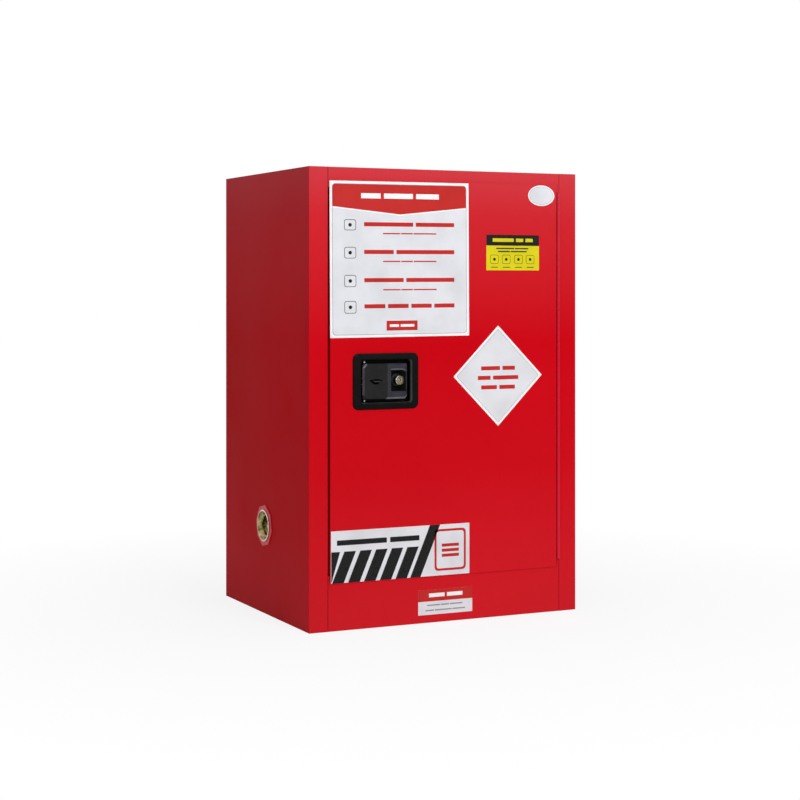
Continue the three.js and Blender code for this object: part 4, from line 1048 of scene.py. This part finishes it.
def lock_plug():
    x, z = LOCK
    radius, neck = KEY_PLUG
    plug = turned(
        [
            (0, LOCK_FACE + KEY_DISH), (3.6, LOCK_FACE + KEY_DISH), (4.4, LOCK_FACE),
            (radius - KEY_DISH, LOCK_FACE), (radius, LOCK_FACE + KEY_DISH), (radius, LOCK_BACK),
            (neck, LOCK_BACK), (neck, KEY_PLUG_BACK), (0, KEY_PLUG_BACK),
        ],
        "y", (x, 0, z), 48,
    )
    cuts = [
        box_mesh([x + v for v in across], [LOCK_FACE + v for v in KEYWAY_DEPTH], [z + v for v in up])
        for across, up in (KEYWAY, KEYWAY_WARD)
    ]
    plug = combined("DIFFERENCE", plug, *cuts)
    stand_in("lock_plug", plug, "lock_metal", KEY_METAL)


lock_body()
lock_plug()

# Hinge: rolled knuckles in a row, turn about, on two leaves

HINGE = tuple(middle("hinge_pin")[:2])
HINGE_Z = spans("hinge_pin")[2]
KNUCKLE = 3
KNUCKLE_BORE = 1.9
KNUCKLE_EDGE = 0.3
KNUCKLE_PITCH = 12.7
KNUCKLE_GAP = 0.8
KNUCKLES = 57
CUT_KNUCKLE_INSET = 0.2
LEAF_END = spans("hinge_door_leaf")[1][1]
LEAF_SHEET = 1.2
ROLL_SEAM = 0.25


def knuckle_tube(low, high, centre):
    edge = KNUCKLE - KNUCKLE_EDGE
    profile = [
        (KNUCKLE_BORE, low), (edge, low), (KNUCKLE, low + KNUCKLE_EDGE),
        (KNUCKLE, high - KNUCKLE_EDGE), (edge, high), (KNUCKLE_BORE, high),
    ]
    return turned(profile, "z", centre, 24)


def hinge_leaf(node, side, first):
    """One leaf: its knuckles are every other one from the first. The second leaf also has the cut ends."""
    x, y = HINGE
    half = (KNUCKLE_PITCH - KNUCKLE_GAP) / 2
    start = (sum(HINGE_Z) - KNUCKLES * KNUCKLE_PITCH) / 2 + KNUCKLE_PITCH * (first + 0.5)
    count = (KNUCKLES - first + 1) // 2
    leaf_x = sorted((side * KNUCKLE, side * (KNUCKLE - LEAF_SHEET)))
    tab = box_mesh(leaf_x, (0, KNUCKLE + 1), (-half, half))
    seam_end = KNUCKLE - LEAF_SHEET
    seam_x = sorted((side * (seam_end - ROLL_SEAM), side * seam_end))
    seam = box_mesh(seam_x, (KNUCKLE_BORE, KNUCKLE), (-half, half))
    tube = combined("DIFFERENCE", knuckle_tube(-half, half, (0, 0, 0)), seam)
    knuckle = together("knuckle", tube, tab)
    # The knuckles and strip take the lighter hinge red, a painted highlight.
    row = repeated(knuckle, count, (x, y, start), (0, 0, 2 * KNUCKLE_PITCH), HINGE_RED_HIGHLIGHT)
    strip = edged(box_mesh([x + v for v in leaf_x], (y + KNUCKLE + 0.5, LEAF_END), HINGE_Z), 0.15, 1)
    ends = []
    if first:
        row_end = start - half - KNUCKLE_PITCH - KNUCKLE_GAP
        cuts = (
            (HINGE_Z[0] + CUT_KNUCKLE_INSET, row_end),
            (sum(HINGE_Z) - row_end, HINGE_Z[1] - CUT_KNUCKLE_INSET),
        )
        ends = [knuckle_tube(low, high, (x, y, 0)) for low, high in cuts]
    stand_in(node, together(node, row, strip, *ends), "red_paint", HINGE_RED_HIGHLIGHT)


hinge_leaf("hinge_frame_leaf", 1, 0)
hinge_leaf("hinge_door_leaf", -1, 1)

# Vents on both sides: painted flange, wire-screened arrester, rubber gasket and passivated plug

FLANGE_FLATS = 39.6
FLANGE_TURN = math.radians(-12)
FLANGE_SHEET = 2
FLANGE_EDGE = 1.5
NECK = (33, 29, 25)
NECK_END, FLANGE_FACE = spans("right_vent_flange")[0]
NECK_LEDGE = 1.5
GASKET = (29.6, 32)
GASKET_X = spans("right_vent_gasket")[0]
PLUG_X = spans("right_vent_plug")[0]
PLUG_SHANK = 28.2
PLUG_RIM = 32
RIM_THICK = 0.8
RIM_HIGHLIGHT_BAND = 2.7
SOCKET = (24, 20)
SOCKET_DEPTH = (7, 14)
LUG_Y = (13, 24.2)
LUG_HALF = 4
LUG_DEPTH = (14.3, 3.5)
THREAD_PITCH = 2.3
THREAD_DEPTH = 0.7
THREAD_STEPS = 6
THREAD_RUN_IN = 4
SCREEN_X = (253.6, 254.2)
SCREEN_REACH = 24.5
SCREEN_PITCH = 2
SCREEN_WIRE = 0.2
SCREEN_LIFT = 0.35


def threaded(radius, depth, pitch, span, ends, axis, centre, sides):
    """A screw: its crest follows a helix between span's places; ends are turned (radius, place) pairs."""
    bm = bmesh.new()

    def ring(place, radius_at):
        return [
            bm.verts.new(ring_point(axis, place, radius_at(i / sides), 2 * math.pi * i / sides, centre))
            for i in range(sides)
        ]

    length = span[1] - span[0]
    rings = int(length / pitch * THREAD_STEPS)
    grid = []
    for row in range(rings + 1):
        place = span[0] + length * row / rings
        fade = min(1, THREAD_RUN_IN * row / rings, THREAD_RUN_IN * (rings - row) / rings)
        turns = (place - span[0]) / pitch
        grid.append(ring(place, lambda share: radius - depth * fade * abs(2 * ((turns - share) % 1) - 1)))
    for below, above in zip(grid, grid[1:]):
        join_rings(bm, below, above)
    for last, profile in ((grid[0], ends[0]), (grid[-1], ends[1])):
        for end_radius, place in profile:
            further = ring(place, lambda share: end_radius)
            join_rings(bm, last, further)
            last = further
        bm.faces.new(last)
    bmesh.ops.recalc_face_normals(bm, faces=bm.faces)
    return mesh_of(bm, "threaded")


def vent_flange(side, sign, centre):
    _, y, height = centre
    corner = FLANGE_FLATS / math.cos(math.pi / 8)
    turns = [math.pi / 4 * (i + 0.5) + FLANGE_TURN for i in range(8)]
    octagon = [(y + corner * math.cos(turn), height + corner * math.sin(turn)) for turn in turns]
    face = FLANGE_FACE
    layers = [[(sign * x, u, v) for u, v in octagon] for x in (face - FLANGE_SHEET, face)]
    flange = edged(loft(layers), FLANGE_EDGE, 3)
    outer, inner, hole = NECK
    neck = [(0, NECK_END), (outer, NECK_END), (outer, face - 0.2), (0, face - 0.2)]
    bore = [
        (0, NECK_END - 2), (hole, NECK_END - 2), (hole, NECK_END + NECK_LEDGE),
        (inner, NECK_END + NECK_LEDGE), (inner, face - 0.8), (inner + 1.6, face + 0.8), (0, face + 0.8),
    ]
    neck, bore = (turned([(r, sign * x) for r, x in profile], "x", centre, 64) for profile in (neck, bore))
    shape = combined("DIFFERENCE", combined("UNION", flange, neck), bore)
    stand_in(side + "_vent_flange", shape, "vent_paint", VENT_RED)


def vent_gasket(side, sign, centre):
    (inner, outer), (back, front) = GASKET, GASKET_X
    profile = [
        (inner, back), (outer - 0.2, back), (outer, back + 0.2),
        (outer, front - 0.2), (outer - 0.2, front), (inner, front),
    ]
    gasket = turned([(r, sign * x) for r, x in profile], "x", centre, 64)
    stand_in(side + "_vent_gasket", gasket, "rubber_ring", RUBBER)


def vent_plug(side, sign, centre):
    _, y, height = centre
    inner, face = PLUG_X
    rim = face - RIM_THICK
    wide, narrow = SOCKET
    step, floor = (face - depth for depth in SOCKET_DEPTH)
    front = [
        (PLUG_SHANK, rim - 0.2), (PLUG_SHANK, rim), (PLUG_RIM - 0.2, rim), (PLUG_RIM, rim + 0.1),
        (PLUG_RIM - 1.2, face - 0.1), (PLUG_RIM - 1.5, face), (PLUG_RIM - 2.6, face),
        (PLUG_RIM - 3.4, face - 0.5), (wide + 2.6, face - 2.2), (wide + 0.7, face - 4.5),
        (wide, step + 0.8), (wide - 0.8, step), (narrow + 0.6, step), (narrow, step - 0.6),
        (narrow, floor + 0.8), (narrow - 0.8, floor), (9, floor), (8, floor + 0.6),
    ]
    ends = [[(r, sign * x) for r, x in profile] for profile in ([(PLUG_SHANK - 1.6, inner)], front)]
    span = (sign * (inner + 1), sign * (rim - 1.2))
    screw = threaded(PLUG_SHANK, THREAD_DEPTH, sign * THREAD_PITCH, span, ends, "x", centre, 72)

    # The rim's outer band takes the lighter metal, a painted highlight.
    def lit_rim(at, way):
        return abs(at.x) > rim and math.hypot(at.y - y, at.z - height) > PLUG_RIM - RIM_HIGHLIGHT_BAND

    paint(screw, 1, lit_rim)
    lugs = [
        edged(box_mesh(
            sorted(sign * (face - depth) for depth in LUG_DEPTH),
            sorted(y + end * away for away in LUG_Y),
            (height - LUG_HALF, height + LUG_HALF),
        ), 0.8)
        for end in (-1, 1)
    ]
    node = side + "_vent_plug"
    stand_in(node, together(node, screw, *lugs), "passivated", GOLD, PLUG_RIM_HIGHLIGHT, smooth=40)


def vent_screen(side, sign, centre):
    """Crossed wires on the arrester's inner face."""
    _, y, height = centre
    upright = sorted(sign * x for x in SCREEN_X)
    level = [x + sign * SCREEN_LIFT for x in upright]
    wires = []
    steps = int(SCREEN_REACH / SCREEN_PITCH)
    for i in range(-steps, steps + 1):
        place = i * SCREEN_PITCH
        reach = math.sqrt(SCREEN_REACH ** 2 - place ** 2)
        thick = (place - SCREEN_WIRE, place + SCREEN_WIRE)
        wires.append(box_mesh(upright, [y + v for v in thick], (height - reach, height + reach)))
        wires.append(box_mesh(level, (y - reach, y + reach), [height + v for v in thick]))
    finished(side + "_vent_screen", together("screen", *wires), "cabinet", ZINC, slot="zinc")


for side, sign in (("left", -1), ("right", 1)):
    vent_centre = (0, *middle(side + "_vent_plug")[1:])
    for make in (vent_flange, vent_gasket, vent_plug):
        make(side, sign, vent_centre)
    dressed(side + "_vent_arrester", ZINC, edge=0.2, slot="zinc", smooth=40)
    vent_screen(side, sign, vent_centre)

# Feet, ground bolt, keepers and latch cover

FOOT_STEM = (5, 0.6, 1.5)
FOOT_STEM_Z = (11, 49)
BOLT_STEM = (3, 0.4, -1)
BOLT_CORNER = 5.77
BOLT_NUTS = ((296.3, 299), (290.8, 293.5))
WASHER_X = (295.3, 296.3)
KEEPER_PROFILE = (
    (5.6, -3), (7.3, -3), (7.7, -2.6), (7.7, 0), (10.6, 0),
    (11, 0.4), (11, 1.2), (6.2, 1.5), (5.2, 0.8), (5, -2.4),
)
COVER_SHEET = 1.2
SCREW_INSET = 6
CROSS_HALF = (1.9, 0.4)
CROSS_DEPTH = (0.4, 2)


def levelling_foot(node):
    x, y, _ = middle(node)
    top = spans(node)[2][1]
    ends = (
        [(4.4, 10.4), (12, 9.4), (12.6, 8), (19.3, 6.2), (20, 5.4), (20, 0.8), (19.2, 0)],
        [(4.4, top)],
    )
    screw = threaded(*FOOT_STEM, FOOT_STEM_Z, ends, "z", (x, y, 0), 28)
    stand_in(node, screw, "zinc", ZINC, smooth=40)


def ground_bolt():
    (inner, outer), _, _ = spans("ground_bolt")
    _, y, z = middle("ground_bolt")
    ends = ([(2.6, outer)], [(2.6, inner)])
    stem = threaded(*BOLT_STEM, (outer - 0.4, inner + 0.4), ends, "x", (0, y, z), 24)
    turns = [math.pi / 3 * i for i in range(6)]
    hexagon = [(y + BOLT_CORNER * math.cos(turn), z + BOLT_CORNER * math.sin(turn)) for turn in turns]
    nuts = [edged(loft([[(x, u, v) for u, v in hexagon] for x in span]), 0.4, 2) for span in BOLT_NUTS]
    back, front = WASHER_X
    washer = turned(
        [(3, back), (6.8, back), (7, back + 0.2), (7, front - 0.2), (6.8, front), (3, front)],
        "x", (0, y, z), 40,
    )
    stand_in("ground_bolt", together("ground_bolt", stem, washer, *nuts), "zinc", ZINC, smooth=40)


def keeper(node, sign, face):
    x, y, _ = middle(node)
    ring = turned([(r, sign * h) for r, h in KEEPER_PROFILE], "z", (x, y, face), 48)
    stand_in(node, ring, "brass", BRASS)


def screw_head():
    """A domed head that faces the back, with a cross cut into it."""
    dome = turned([(0, 1), (1.6, 0.95), (2.8, 0.7), (3.3, 0.35), (3.5, 0), (0, 0)], "y", (0, 0, 0), 20)
    long, thin = ((-half, half) for half in CROSS_HALF)
    return combined("DIFFERENCE", dome, box_mesh(long, CROSS_DEPTH, thin), box_mesh(thin, CROSS_DEPTH, long))


def latch_cover():
    x, (front, _), z = spans("latch_cover")
    back = front + COVER_SHEET
    plate = edged(box_mesh(x, (front, back), z), 0.35)
    columns = inset(x, SCREW_INSET)
    rows = (z[0] + SCREW_INSET, sum(z) / 2, z[1] - SCREW_INSET)
    heads = set_at(screw_head(), [(across, back, up) for across in columns for up in rows], ZINC)
    paint(heads, 1, lambda at, way: True)
    stand_in("latch_cover", together("latch_cover", plate, heads), "red_paint", INNER_RED, ZINC, smooth=30)


for node in [name for name in frame["nodes"] if name.startswith("levelling_foot")]:
    levelling_foot(node)
ground_bolt()
keeper("upper_keeper", -1, HINGE_Z[1])
keeper("lower_keeper", 1, HINGE_Z[0])
latch_cover()

# Vinyl panels: plain blocks and bars in the colours of the printed sheets, with no words or signs

FILM = 0.15
INK = 0.05


def round_corners(points, radius, steps=5):
    """A flat outline with its corners rounded."""
    made = []
    count = len(points)
    for i, corner in enumerate(points):
        before, here, after = (Vector(p) for p in (points[i - 1], corner, points[(i + 1) % count]))
        start = here + (before - here).normalized() * radius
        end = here + (after - here).normalized() * radius
        for step in range(steps + 1):
            t = step / steps
            made.append((start * (1 - t) ** 2 + here * 2 * t * (1 - t) + end * t * t)[:])
    return made


def top_corners(x, top, radius):
    """The two rounded upper corners of a sheet, from right to left."""
    low = top - 4 * radius
    outline = round_corners([(x[1], low), (x[1], top), (x[0], top), (x[0], low)], radius)
    return [point for point in outline if point[1] > top - 2 * radius]


def ellipse(centre, half, count=64):
    return [
        (centre[0] + half[0] * math.cos(a), centre[1] + half[1] * math.sin(a))
        for a in (2 * math.pi * i / count for i in range(count))
    ]


class Sheet:
    """A vinyl sheet with layers of ink on it, all in one piece. It may be stuck on slightly turned."""

    def __init__(self, name, body, face, *finishes, turn=0.0, pivot=(0, 0)):
        self.name, self.body, self.face, self.finishes = name, body, face, finishes
        self.turn, self.pivot = turn, pivot
        self.meshes = []

    def turned_point(self, x, z):
        away, up = x - self.pivot[0], z - self.pivot[1]
        cos, sin = math.cos(self.turn), math.sin(self.turn)
        return self.pivot[0] + away * cos - up * sin, self.pivot[1] + away * sin + up * cos

    def lay(self, outline, level, finish):
        """An outline as a thin plate: level 0 is the sheet, and ink lies on the level below."""
        back = self.face if level == 0 else self.face - FILM - INK * (level - 1)
        front = self.face - FILM - INK * level
        outline = [self.turned_point(*point) for point in outline]
        self.meshes.append(prism_y(outline, front, back, material=self.finishes.index(finish)))

    def block(self, x, z, level, finish, corner=0.8):
        outline = [(x[0], z[0]), (x[1], z[0]), (x[1], z[1]), (x[0], z[1])]
        self.lay(round_corners(outline, corner) if corner else outline, level, finish)

    def dot(self, x, z, radius, count, level, finish):
        self.lay(ellipse((x, z), (radius, radius), count), level, finish)

    def bars(self, x, z, words, level, finish):
        """A row of plain bars whose lengths are given as shares, with even gaps."""
        gap = (z[1] - z[0]) * 0.7
        free = x[1] - x[0] - gap * (len(words) - 1)
        left = x[0]
        for share in words:
            right = left + free * share / sum(words)
            self.block((left, right), z, level, finish, min(0.8, (z[1] - z[0]) / 3))
            left = right + gap

    def done(self):
        finished(self.name, together(self.name, *self.meshes), self.body, *self.finishes, smooth=30)


LARGE_X, LARGE_Z = (-252, 48), (563.5, 865)
LARGE_TURN = 0.0052
LARGE_BORDER = 5
LARGE_LINE = 0.9
LARGE_CORNERS = (1, 8, 7.5)
HEAD_FOOT = (816, 801.5)
HEAD_LINE = 2.4
HEAD_BARS = ((-186, -18), (832, 842), (2, 3, 2.4))
BADGE_X = (-222, -197)
BADGE_LINE = 1.1
BADGE_CORNERS = (5, 4.2)
BADGE_DOT = 3.6
ROW_X = (-180, 15.5)
ROW_REACH = (2.5, 5.5)
NOTE_X = (-140, -24)
NOTE_DROP = (7, 4.4)
NOTE_WORDS = (3, 2, 4)
ROWS = (
    ((770, 791), (5, 4), NOTE_WORDS), ((716, 738), (3, 6), NOTE_WORDS),
    ((661, 684), (4, 5), NOTE_WORDS), ((610, 634), (2, 2, 2, 2), ()),
)
TAG_X, TAG_Z = (-133, -66), (576, 595)
TAG_BARS = ((-126, -73), (583, 588), (2, 3))


def large_panel():
    sheet = Sheet(
        "large_panel", "door", SKIN_FRONT, EDGE_FILM, GREY_INK, WHITE_FILM, RED_INK, BLACK_INK,
        turn=LARGE_TURN, pivot=(LARGE_X[1], LARGE_Z[0]),
    )
    edge, line, inside = LARGE_CORNERS
    sheet.block(LARGE_X, LARGE_Z, 0, EDGE_FILM, edge)
    x, z = inset(LARGE_X, LARGE_BORDER), inset(LARGE_Z, LARGE_BORDER)
    sheet.block(x, z, 1, GREY_INK, line)
    x, z = inset(x, LARGE_LINE), inset(z, LARGE_LINE)
    sheet.block(x, z, 2, WHITE_FILM, inside)
    side, tip = HEAD_FOOT
    for drop, level, finish in ((HEAD_LINE, 3, EDGE_FILM), (0, 4, RED_INK)):
        foot = [(x[0], side - drop), (sum(LARGE_X) / 2, tip - drop), (x[1], side - drop)]
        sheet.lay(foot + top_corners(x, z[1], inside), level, finish)
    sheet.bars(*HEAD_BARS, 5, EDGE_FILM)
    for (low, high), words, note in ROWS:
        centre = (low + high) / 2
        sheet.block(BADGE_X, (low, high), 3, BLACK_INK, BADGE_CORNERS[0])
        badge = inset(BADGE_X, BADGE_LINE), inset((low, high), BADGE_LINE)
        sheet.block(*badge, 4, WHITE_FILM, BADGE_CORNERS[1])
        sheet.dot(sum(BADGE_X) / 2, centre, BADGE_DOT, 24, 5, BLACK_INK)
        sheet.bars(ROW_X, (centre - ROW_REACH[0], centre + ROW_REACH[1]), words, 3, RED_INK)
        if note:
            sheet.bars(NOTE_X, [low - drop for drop in NOTE_DROP], note, 3, RED_INK)
    sheet.block(TAG_X, TAG_Z, 3, RED_INK, 1)
    sheet.bars(*TAG_BARS, 4, EDGE_FILM)
    sheet.done()


OVAL = (213, 844.4)
OVAL_HALVES = ((30.5, 20.8), (27.6, 18.2), (27, 17.6))


def oval_panel():
    finishes = (EDGE_FILM, GREY_INK, WHITE_FILM)
    sheet = Sheet("oval_panel", "door", SKIN_FRONT, *finishes)
    for level, (half, finish) in enumerate(zip(OVAL_HALVES, finishes)):
        sheet.lay(ellipse(OVAL, half), level, finish)
    sheet.done()


YELLOW_X, YELLOW_Z = (86.8, 207.6), (693, 764)
YELLOW_HEAD = 742.5
YELLOW_HEAD_BARS = ((101, 193), (750, 757), (4, 1.4, 1.4))
YELLOW_NOTES = (((109, 183), (735.5, 738), (4, 3)), ((113, 179), (729.5, 732), (3, 4)))
STAMPS = (105, 132, 160, 187)
STAMP_HALF = 9.5
STAMP_Z = (706, 724)
STAMP_LINE = 0.8
STAMP_CORNERS = (4, 3.4)
STAMP_DOT = 3
STAMP_NOTE = (8, (698.5, 700))


def yellow_panel():
    sheet = Sheet("yellow_panel", "door", SKIN_FRONT, YELLOW_INK, BLACK_INK)
    sheet.block(YELLOW_X, YELLOW_Z, 0, YELLOW_INK)
    sheet.block(YELLOW_X, (YELLOW_HEAD, YELLOW_Z[1]), 1, BLACK_INK)
    sheet.bars(*YELLOW_HEAD_BARS, 2, YELLOW_INK)
    for note in YELLOW_NOTES:
        sheet.bars(*note, 1, BLACK_INK)
    half, z = STAMP_NOTE
    for place in STAMPS:
        x = (place - STAMP_HALF, place + STAMP_HALF)
        sheet.block(x, STAMP_Z, 1, BLACK_INK, STAMP_CORNERS[0])
        sheet.block(inset(x, STAMP_LINE), inset(STAMP_Z, STAMP_LINE), 2, YELLOW_INK, STAMP_CORNERS[1])
        sheet.dot(place, sum(STAMP_Z) / 2, STAMP_DOT, 20, 3, BLACK_INK)
        sheet.block((place - half, place + half), z, 1, BLACK_INK, 0.4)
    sheet.done()


DIAMOND = (113.4, 482.2)
DIAMOND_HALVES = (100.4, 93.4, 92.4)
DIAMOND_BARS = ((497, (3, 2)), (478, (2, 4)), (459, (3, 3)))
DIAMOND_BAR_HALF = 46
DIAMOND_BAR_REACH = (3.5, 4.5)


def diamond_panel():
    x, z = DIAMOND
    sheet = Sheet("diamond_panel", "door", SKIN_FRONT, EDGE_FILM, GREY_INK, WHITE_FILM, RED_INK)
    for level, (half, finish) in enumerate(zip(DIAMOND_HALVES, sheet.finishes)):
        corners = [(x, z - half), (x + half, z), (x, z + half), (x - half, z)]
        sheet.lay(round_corners(corners, 1.5), level, finish)
    below, above = DIAMOND_BAR_REACH
    for place, words in DIAMOND_BARS:
        reach = DIAMOND_BAR_HALF - abs(place - DIAMOND_BARS[1][0]) * 0.4
        sheet.bars((x - reach, x + reach), (place - below, place + above), words, 3, RED_INK)
    sheet.done()


STRIPED_X, STRIPED_Z = (-250.4, 48.4), (92, 192)
STRIPES = 6
STRIPE_TOP = 152
STRIPE_FIRST = -231.5
STRIPE_PITCH = 33.6
STRIPE_WIDTH = 24.5
STRIPE_SLANT = 0.431
STRIPE_INSET = 0.6
TALL_STRIPE_X = (-39, -16.6)
STRIPED_BARS = ((-238, -62), (164, 174), (5, 3))
FRAME_X, FRAME_Z = (-29, 40.5), (101, 183)
FRAME_LINE = 4.6
FRAME_CORNERS = (9, 6)
FRAME_BARS_X = (-13, 25)
FRAME_BARS_Z = ((148, 154), (138, 144), (128, 134))


def slanted(x, top, bottom):
    """A stripe's corners from its span at the top; it leans back to the left as it goes down."""
    drop = STRIPE_SLANT * (top - bottom)
    return [(x[0], top), (x[1], top), (x[1] - drop, bottom), (x[0] - drop, bottom)]


def striped_panel():
    left, (bottom, top) = STRIPED_X[0] + STRIPE_INSET, STRIPED_Z
    sheet = Sheet("striped_panel", "door", SKIN_FRONT, WHITE_FILM, BLACK_INK, RED_INK)
    sheet.block(STRIPED_X, STRIPED_Z, 0, WHITE_FILM, 0.6)
    for i in range(STRIPES):
        end = STRIPE_FIRST + STRIPE_PITCH * i
        stripe = slanted((end - STRIPE_WIDTH, end), STRIPE_TOP, bottom)
        sheet.lay([(max(x, left), z) for x, z in stripe], 1, BLACK_INK)
    sheet.lay(slanted(TALL_STRIPE_X, top, bottom), 1, BLACK_INK)
    sheet.bars(*STRIPED_BARS, 1, BLACK_INK)
    sheet.block(FRAME_X, FRAME_Z, 1, RED_INK, FRAME_CORNERS[0])
    sheet.block(inset(FRAME_X, FRAME_LINE), inset(FRAME_Z, FRAME_LINE), 2, WHITE_FILM, FRAME_CORNERS[1])
    for z in FRAME_BARS_Z:
        sheet.bars(FRAME_BARS_X, z, (1,), 3, RED_INK)
    sheet.done()


SILL_FRONT = spans("sill_panel")[1][0]
SILL_LABEL_X, SILL_LABEL_Z = (-63.6, 56), (15.8, 65)
SILL_LABEL_HEAD = 42
SILL_LABEL_BARS = (
    ((-40, 34), (50, 57.5), (1, 1), 2, EDGE_FILM),
    ((-44, 34), (33, 35.6), (3, 2, 3), 1, GREY_INK),
    ((-48, 40), (23, 25.6), (2, 4, 3), 1, GREY_INK),
)


def sill_label():
    sheet = Sheet("sill_panel_label", "cabinet", SILL_FRONT, WHITE_FILM, RED_INK, GREY_INK, EDGE_FILM)
    sheet.block(SILL_LABEL_X, SILL_LABEL_Z, 0, WHITE_FILM, 0.6)
    sheet.block(SILL_LABEL_X, (SILL_LABEL_HEAD, SILL_LABEL_Z[1]), 1, RED_INK, 0.6)
    for bars in SILL_LABEL_BARS:
        sheet.bars(*bars)
    sheet.done()


for panel in (large_panel, oval_panel, yellow_panel, diamond_panel, striped_panel, sill_label):
    panel()

# Studio: a white backdrop, soft lamps and a pale floor, in metres

scene = bpy.context.scene
scene.view_settings.view_transform = "Standard"

WORLD_LIGHT = 0.25
LAMPS = (
    ("key", (0.35, -3.5, 2.1), (0.0, -0.2, 0.45), 1.1, 80),
    ("side", (-3.0, 1.3, 1.8), (-0.3, 0.0, 0.45), 1.2, 6.5),
    ("left", (-2.7, -2.0, 0.9), (-0.2, -0.2, 0.45), 0.9, 5.5),
    ("top", (0.3, -0.4, 3.4), (0.0, 0.0, 0.9), 1.6, 20),
)
FLOOR_HALF = 14
FLOOR_FADE = (0.3, 1.3, 0.86, 1.0)
WHITE = (1, 1, 1, 1)
FLOOR_GREY = (0.8, 0.8, 0.8, 1)


def seen_rays(tree):
    """1 for the rays that have to meet a white studio: from the camera, in reflections and through glass."""
    rays = tree.nodes.new("ShaderNodeLightPath")
    seen = rays.outputs["Is Camera Ray"]
    for label in ("Is Glossy Ray", "Is Transmission Ray"):
        either = tree.nodes.new("ShaderNodeMath")
        either.operation = "MAXIMUM"
        tree.links.new(seen, either.inputs[0])
        tree.links.new(rays.outputs[label], either.inputs[1])
        seen = either.outputs[0]
    return seen


def mixed(tree, share, first, second, end):
    """Two shaders mixed by a share, led to an output."""
    mix = tree.nodes.new("ShaderNodeMixShader")
    tree.links.new(share, mix.inputs["Fac"])
    tree.links.new(first, mix.inputs[1])
    tree.links.new(second, mix.inputs[2])
    tree.links.new(mix.outputs[0], end)


def backdrop():
    world = bpy.data.worlds.new("studio")
    scene.world = world
    world.use_nodes = True
    tree = world.node_tree
    tree.nodes.clear()
    shades = []
    for strength in (WORLD_LIGHT, 1.0):
        shade = tree.nodes.new("ShaderNodeBackground")
        shade.inputs["Color"].default_value = WHITE
        shade.inputs["Strength"].default_value = strength
        shades.append(shade.outputs[0])
    mixed(tree, seen_rays(tree), *shades, tree.nodes.new("ShaderNodeOutputWorld").inputs["Surface"])


def soft_lamp(name, place, target, size, watts):
    """A square soft lamp that faces a target."""
    data = bpy.data.lights.new(name, "AREA")
    data.shape = "SQUARE"
    data.size = size
    data.energy = watts
    lamp = bpy.data.objects.new(name, data)
    lamp.location = place
    lamp.rotation_euler = (Vector(target) - Vector(place)).to_track_quat("-Z", "Y").to_euler()
    scene.collection.objects.link(lamp)


def pale_paint():
    """Matt for the lamps, so that shadows show, and white to the eye, a little less so near the middle."""
    pale = bpy.data.materials.new("pale_floor")
    pale.use_nodes = True
    tree = pale.node_tree
    matt = tree.nodes["Principled BSDF"]
    matt.inputs["Base Color"].default_value = FLOOR_GREY
    matt.inputs["Roughness"].default_value = 0.9
    matt.inputs["Specular IOR Level"].default_value = 0.0
    glow = tree.nodes.new("ShaderNodeEmission")
    glow.inputs["Color"].default_value = WHITE
    glow.inputs["Strength"].default_value = 1.0
    place = tree.nodes.new("ShaderNodeTexCoord")
    length = tree.nodes.new("ShaderNodeVectorMath")
    length.operation = "LENGTH"
    tree.links.new(place.outputs["Object"], length.inputs[0])
    fade = tree.nodes.new("ShaderNodeMapRange")
    for socket, number in zip(RANGE_SOCKETS, FLOOR_FADE):
        fade.inputs[socket].default_value = number
    tree.links.new(length.outputs["Value"], fade.inputs["Value"])
    share = tree.nodes.new("ShaderNodeMath")
    share.operation = "MULTIPLY"
    tree.links.new(seen_rays(tree), share.inputs[0])
    tree.links.new(fade.outputs["Result"], share.inputs[1])
    end = tree.nodes["Material Output"].inputs["Surface"]
    mixed(tree, share.outputs[0], matt.outputs[0], glow.outputs[0], end)
    return pale


def pale_floor():
    half = FLOOR_HALF
    mesh = bpy.data.meshes.new("floor")
    mesh.from_pydata(
        [(-half, -half, 0), (half, -half, 0), (half, half, 0), (-half, half, 0)], [], [(0, 1, 2, 3)],
    )
    mesh.materials.append(pale_paint())
    floor = bpy.data.objects.new("floor", mesh)
    scene.collection.objects.link(floor)


backdrop()
for lamp in LAMPS:
    soft_lamp(*lamp)
pale_floor()
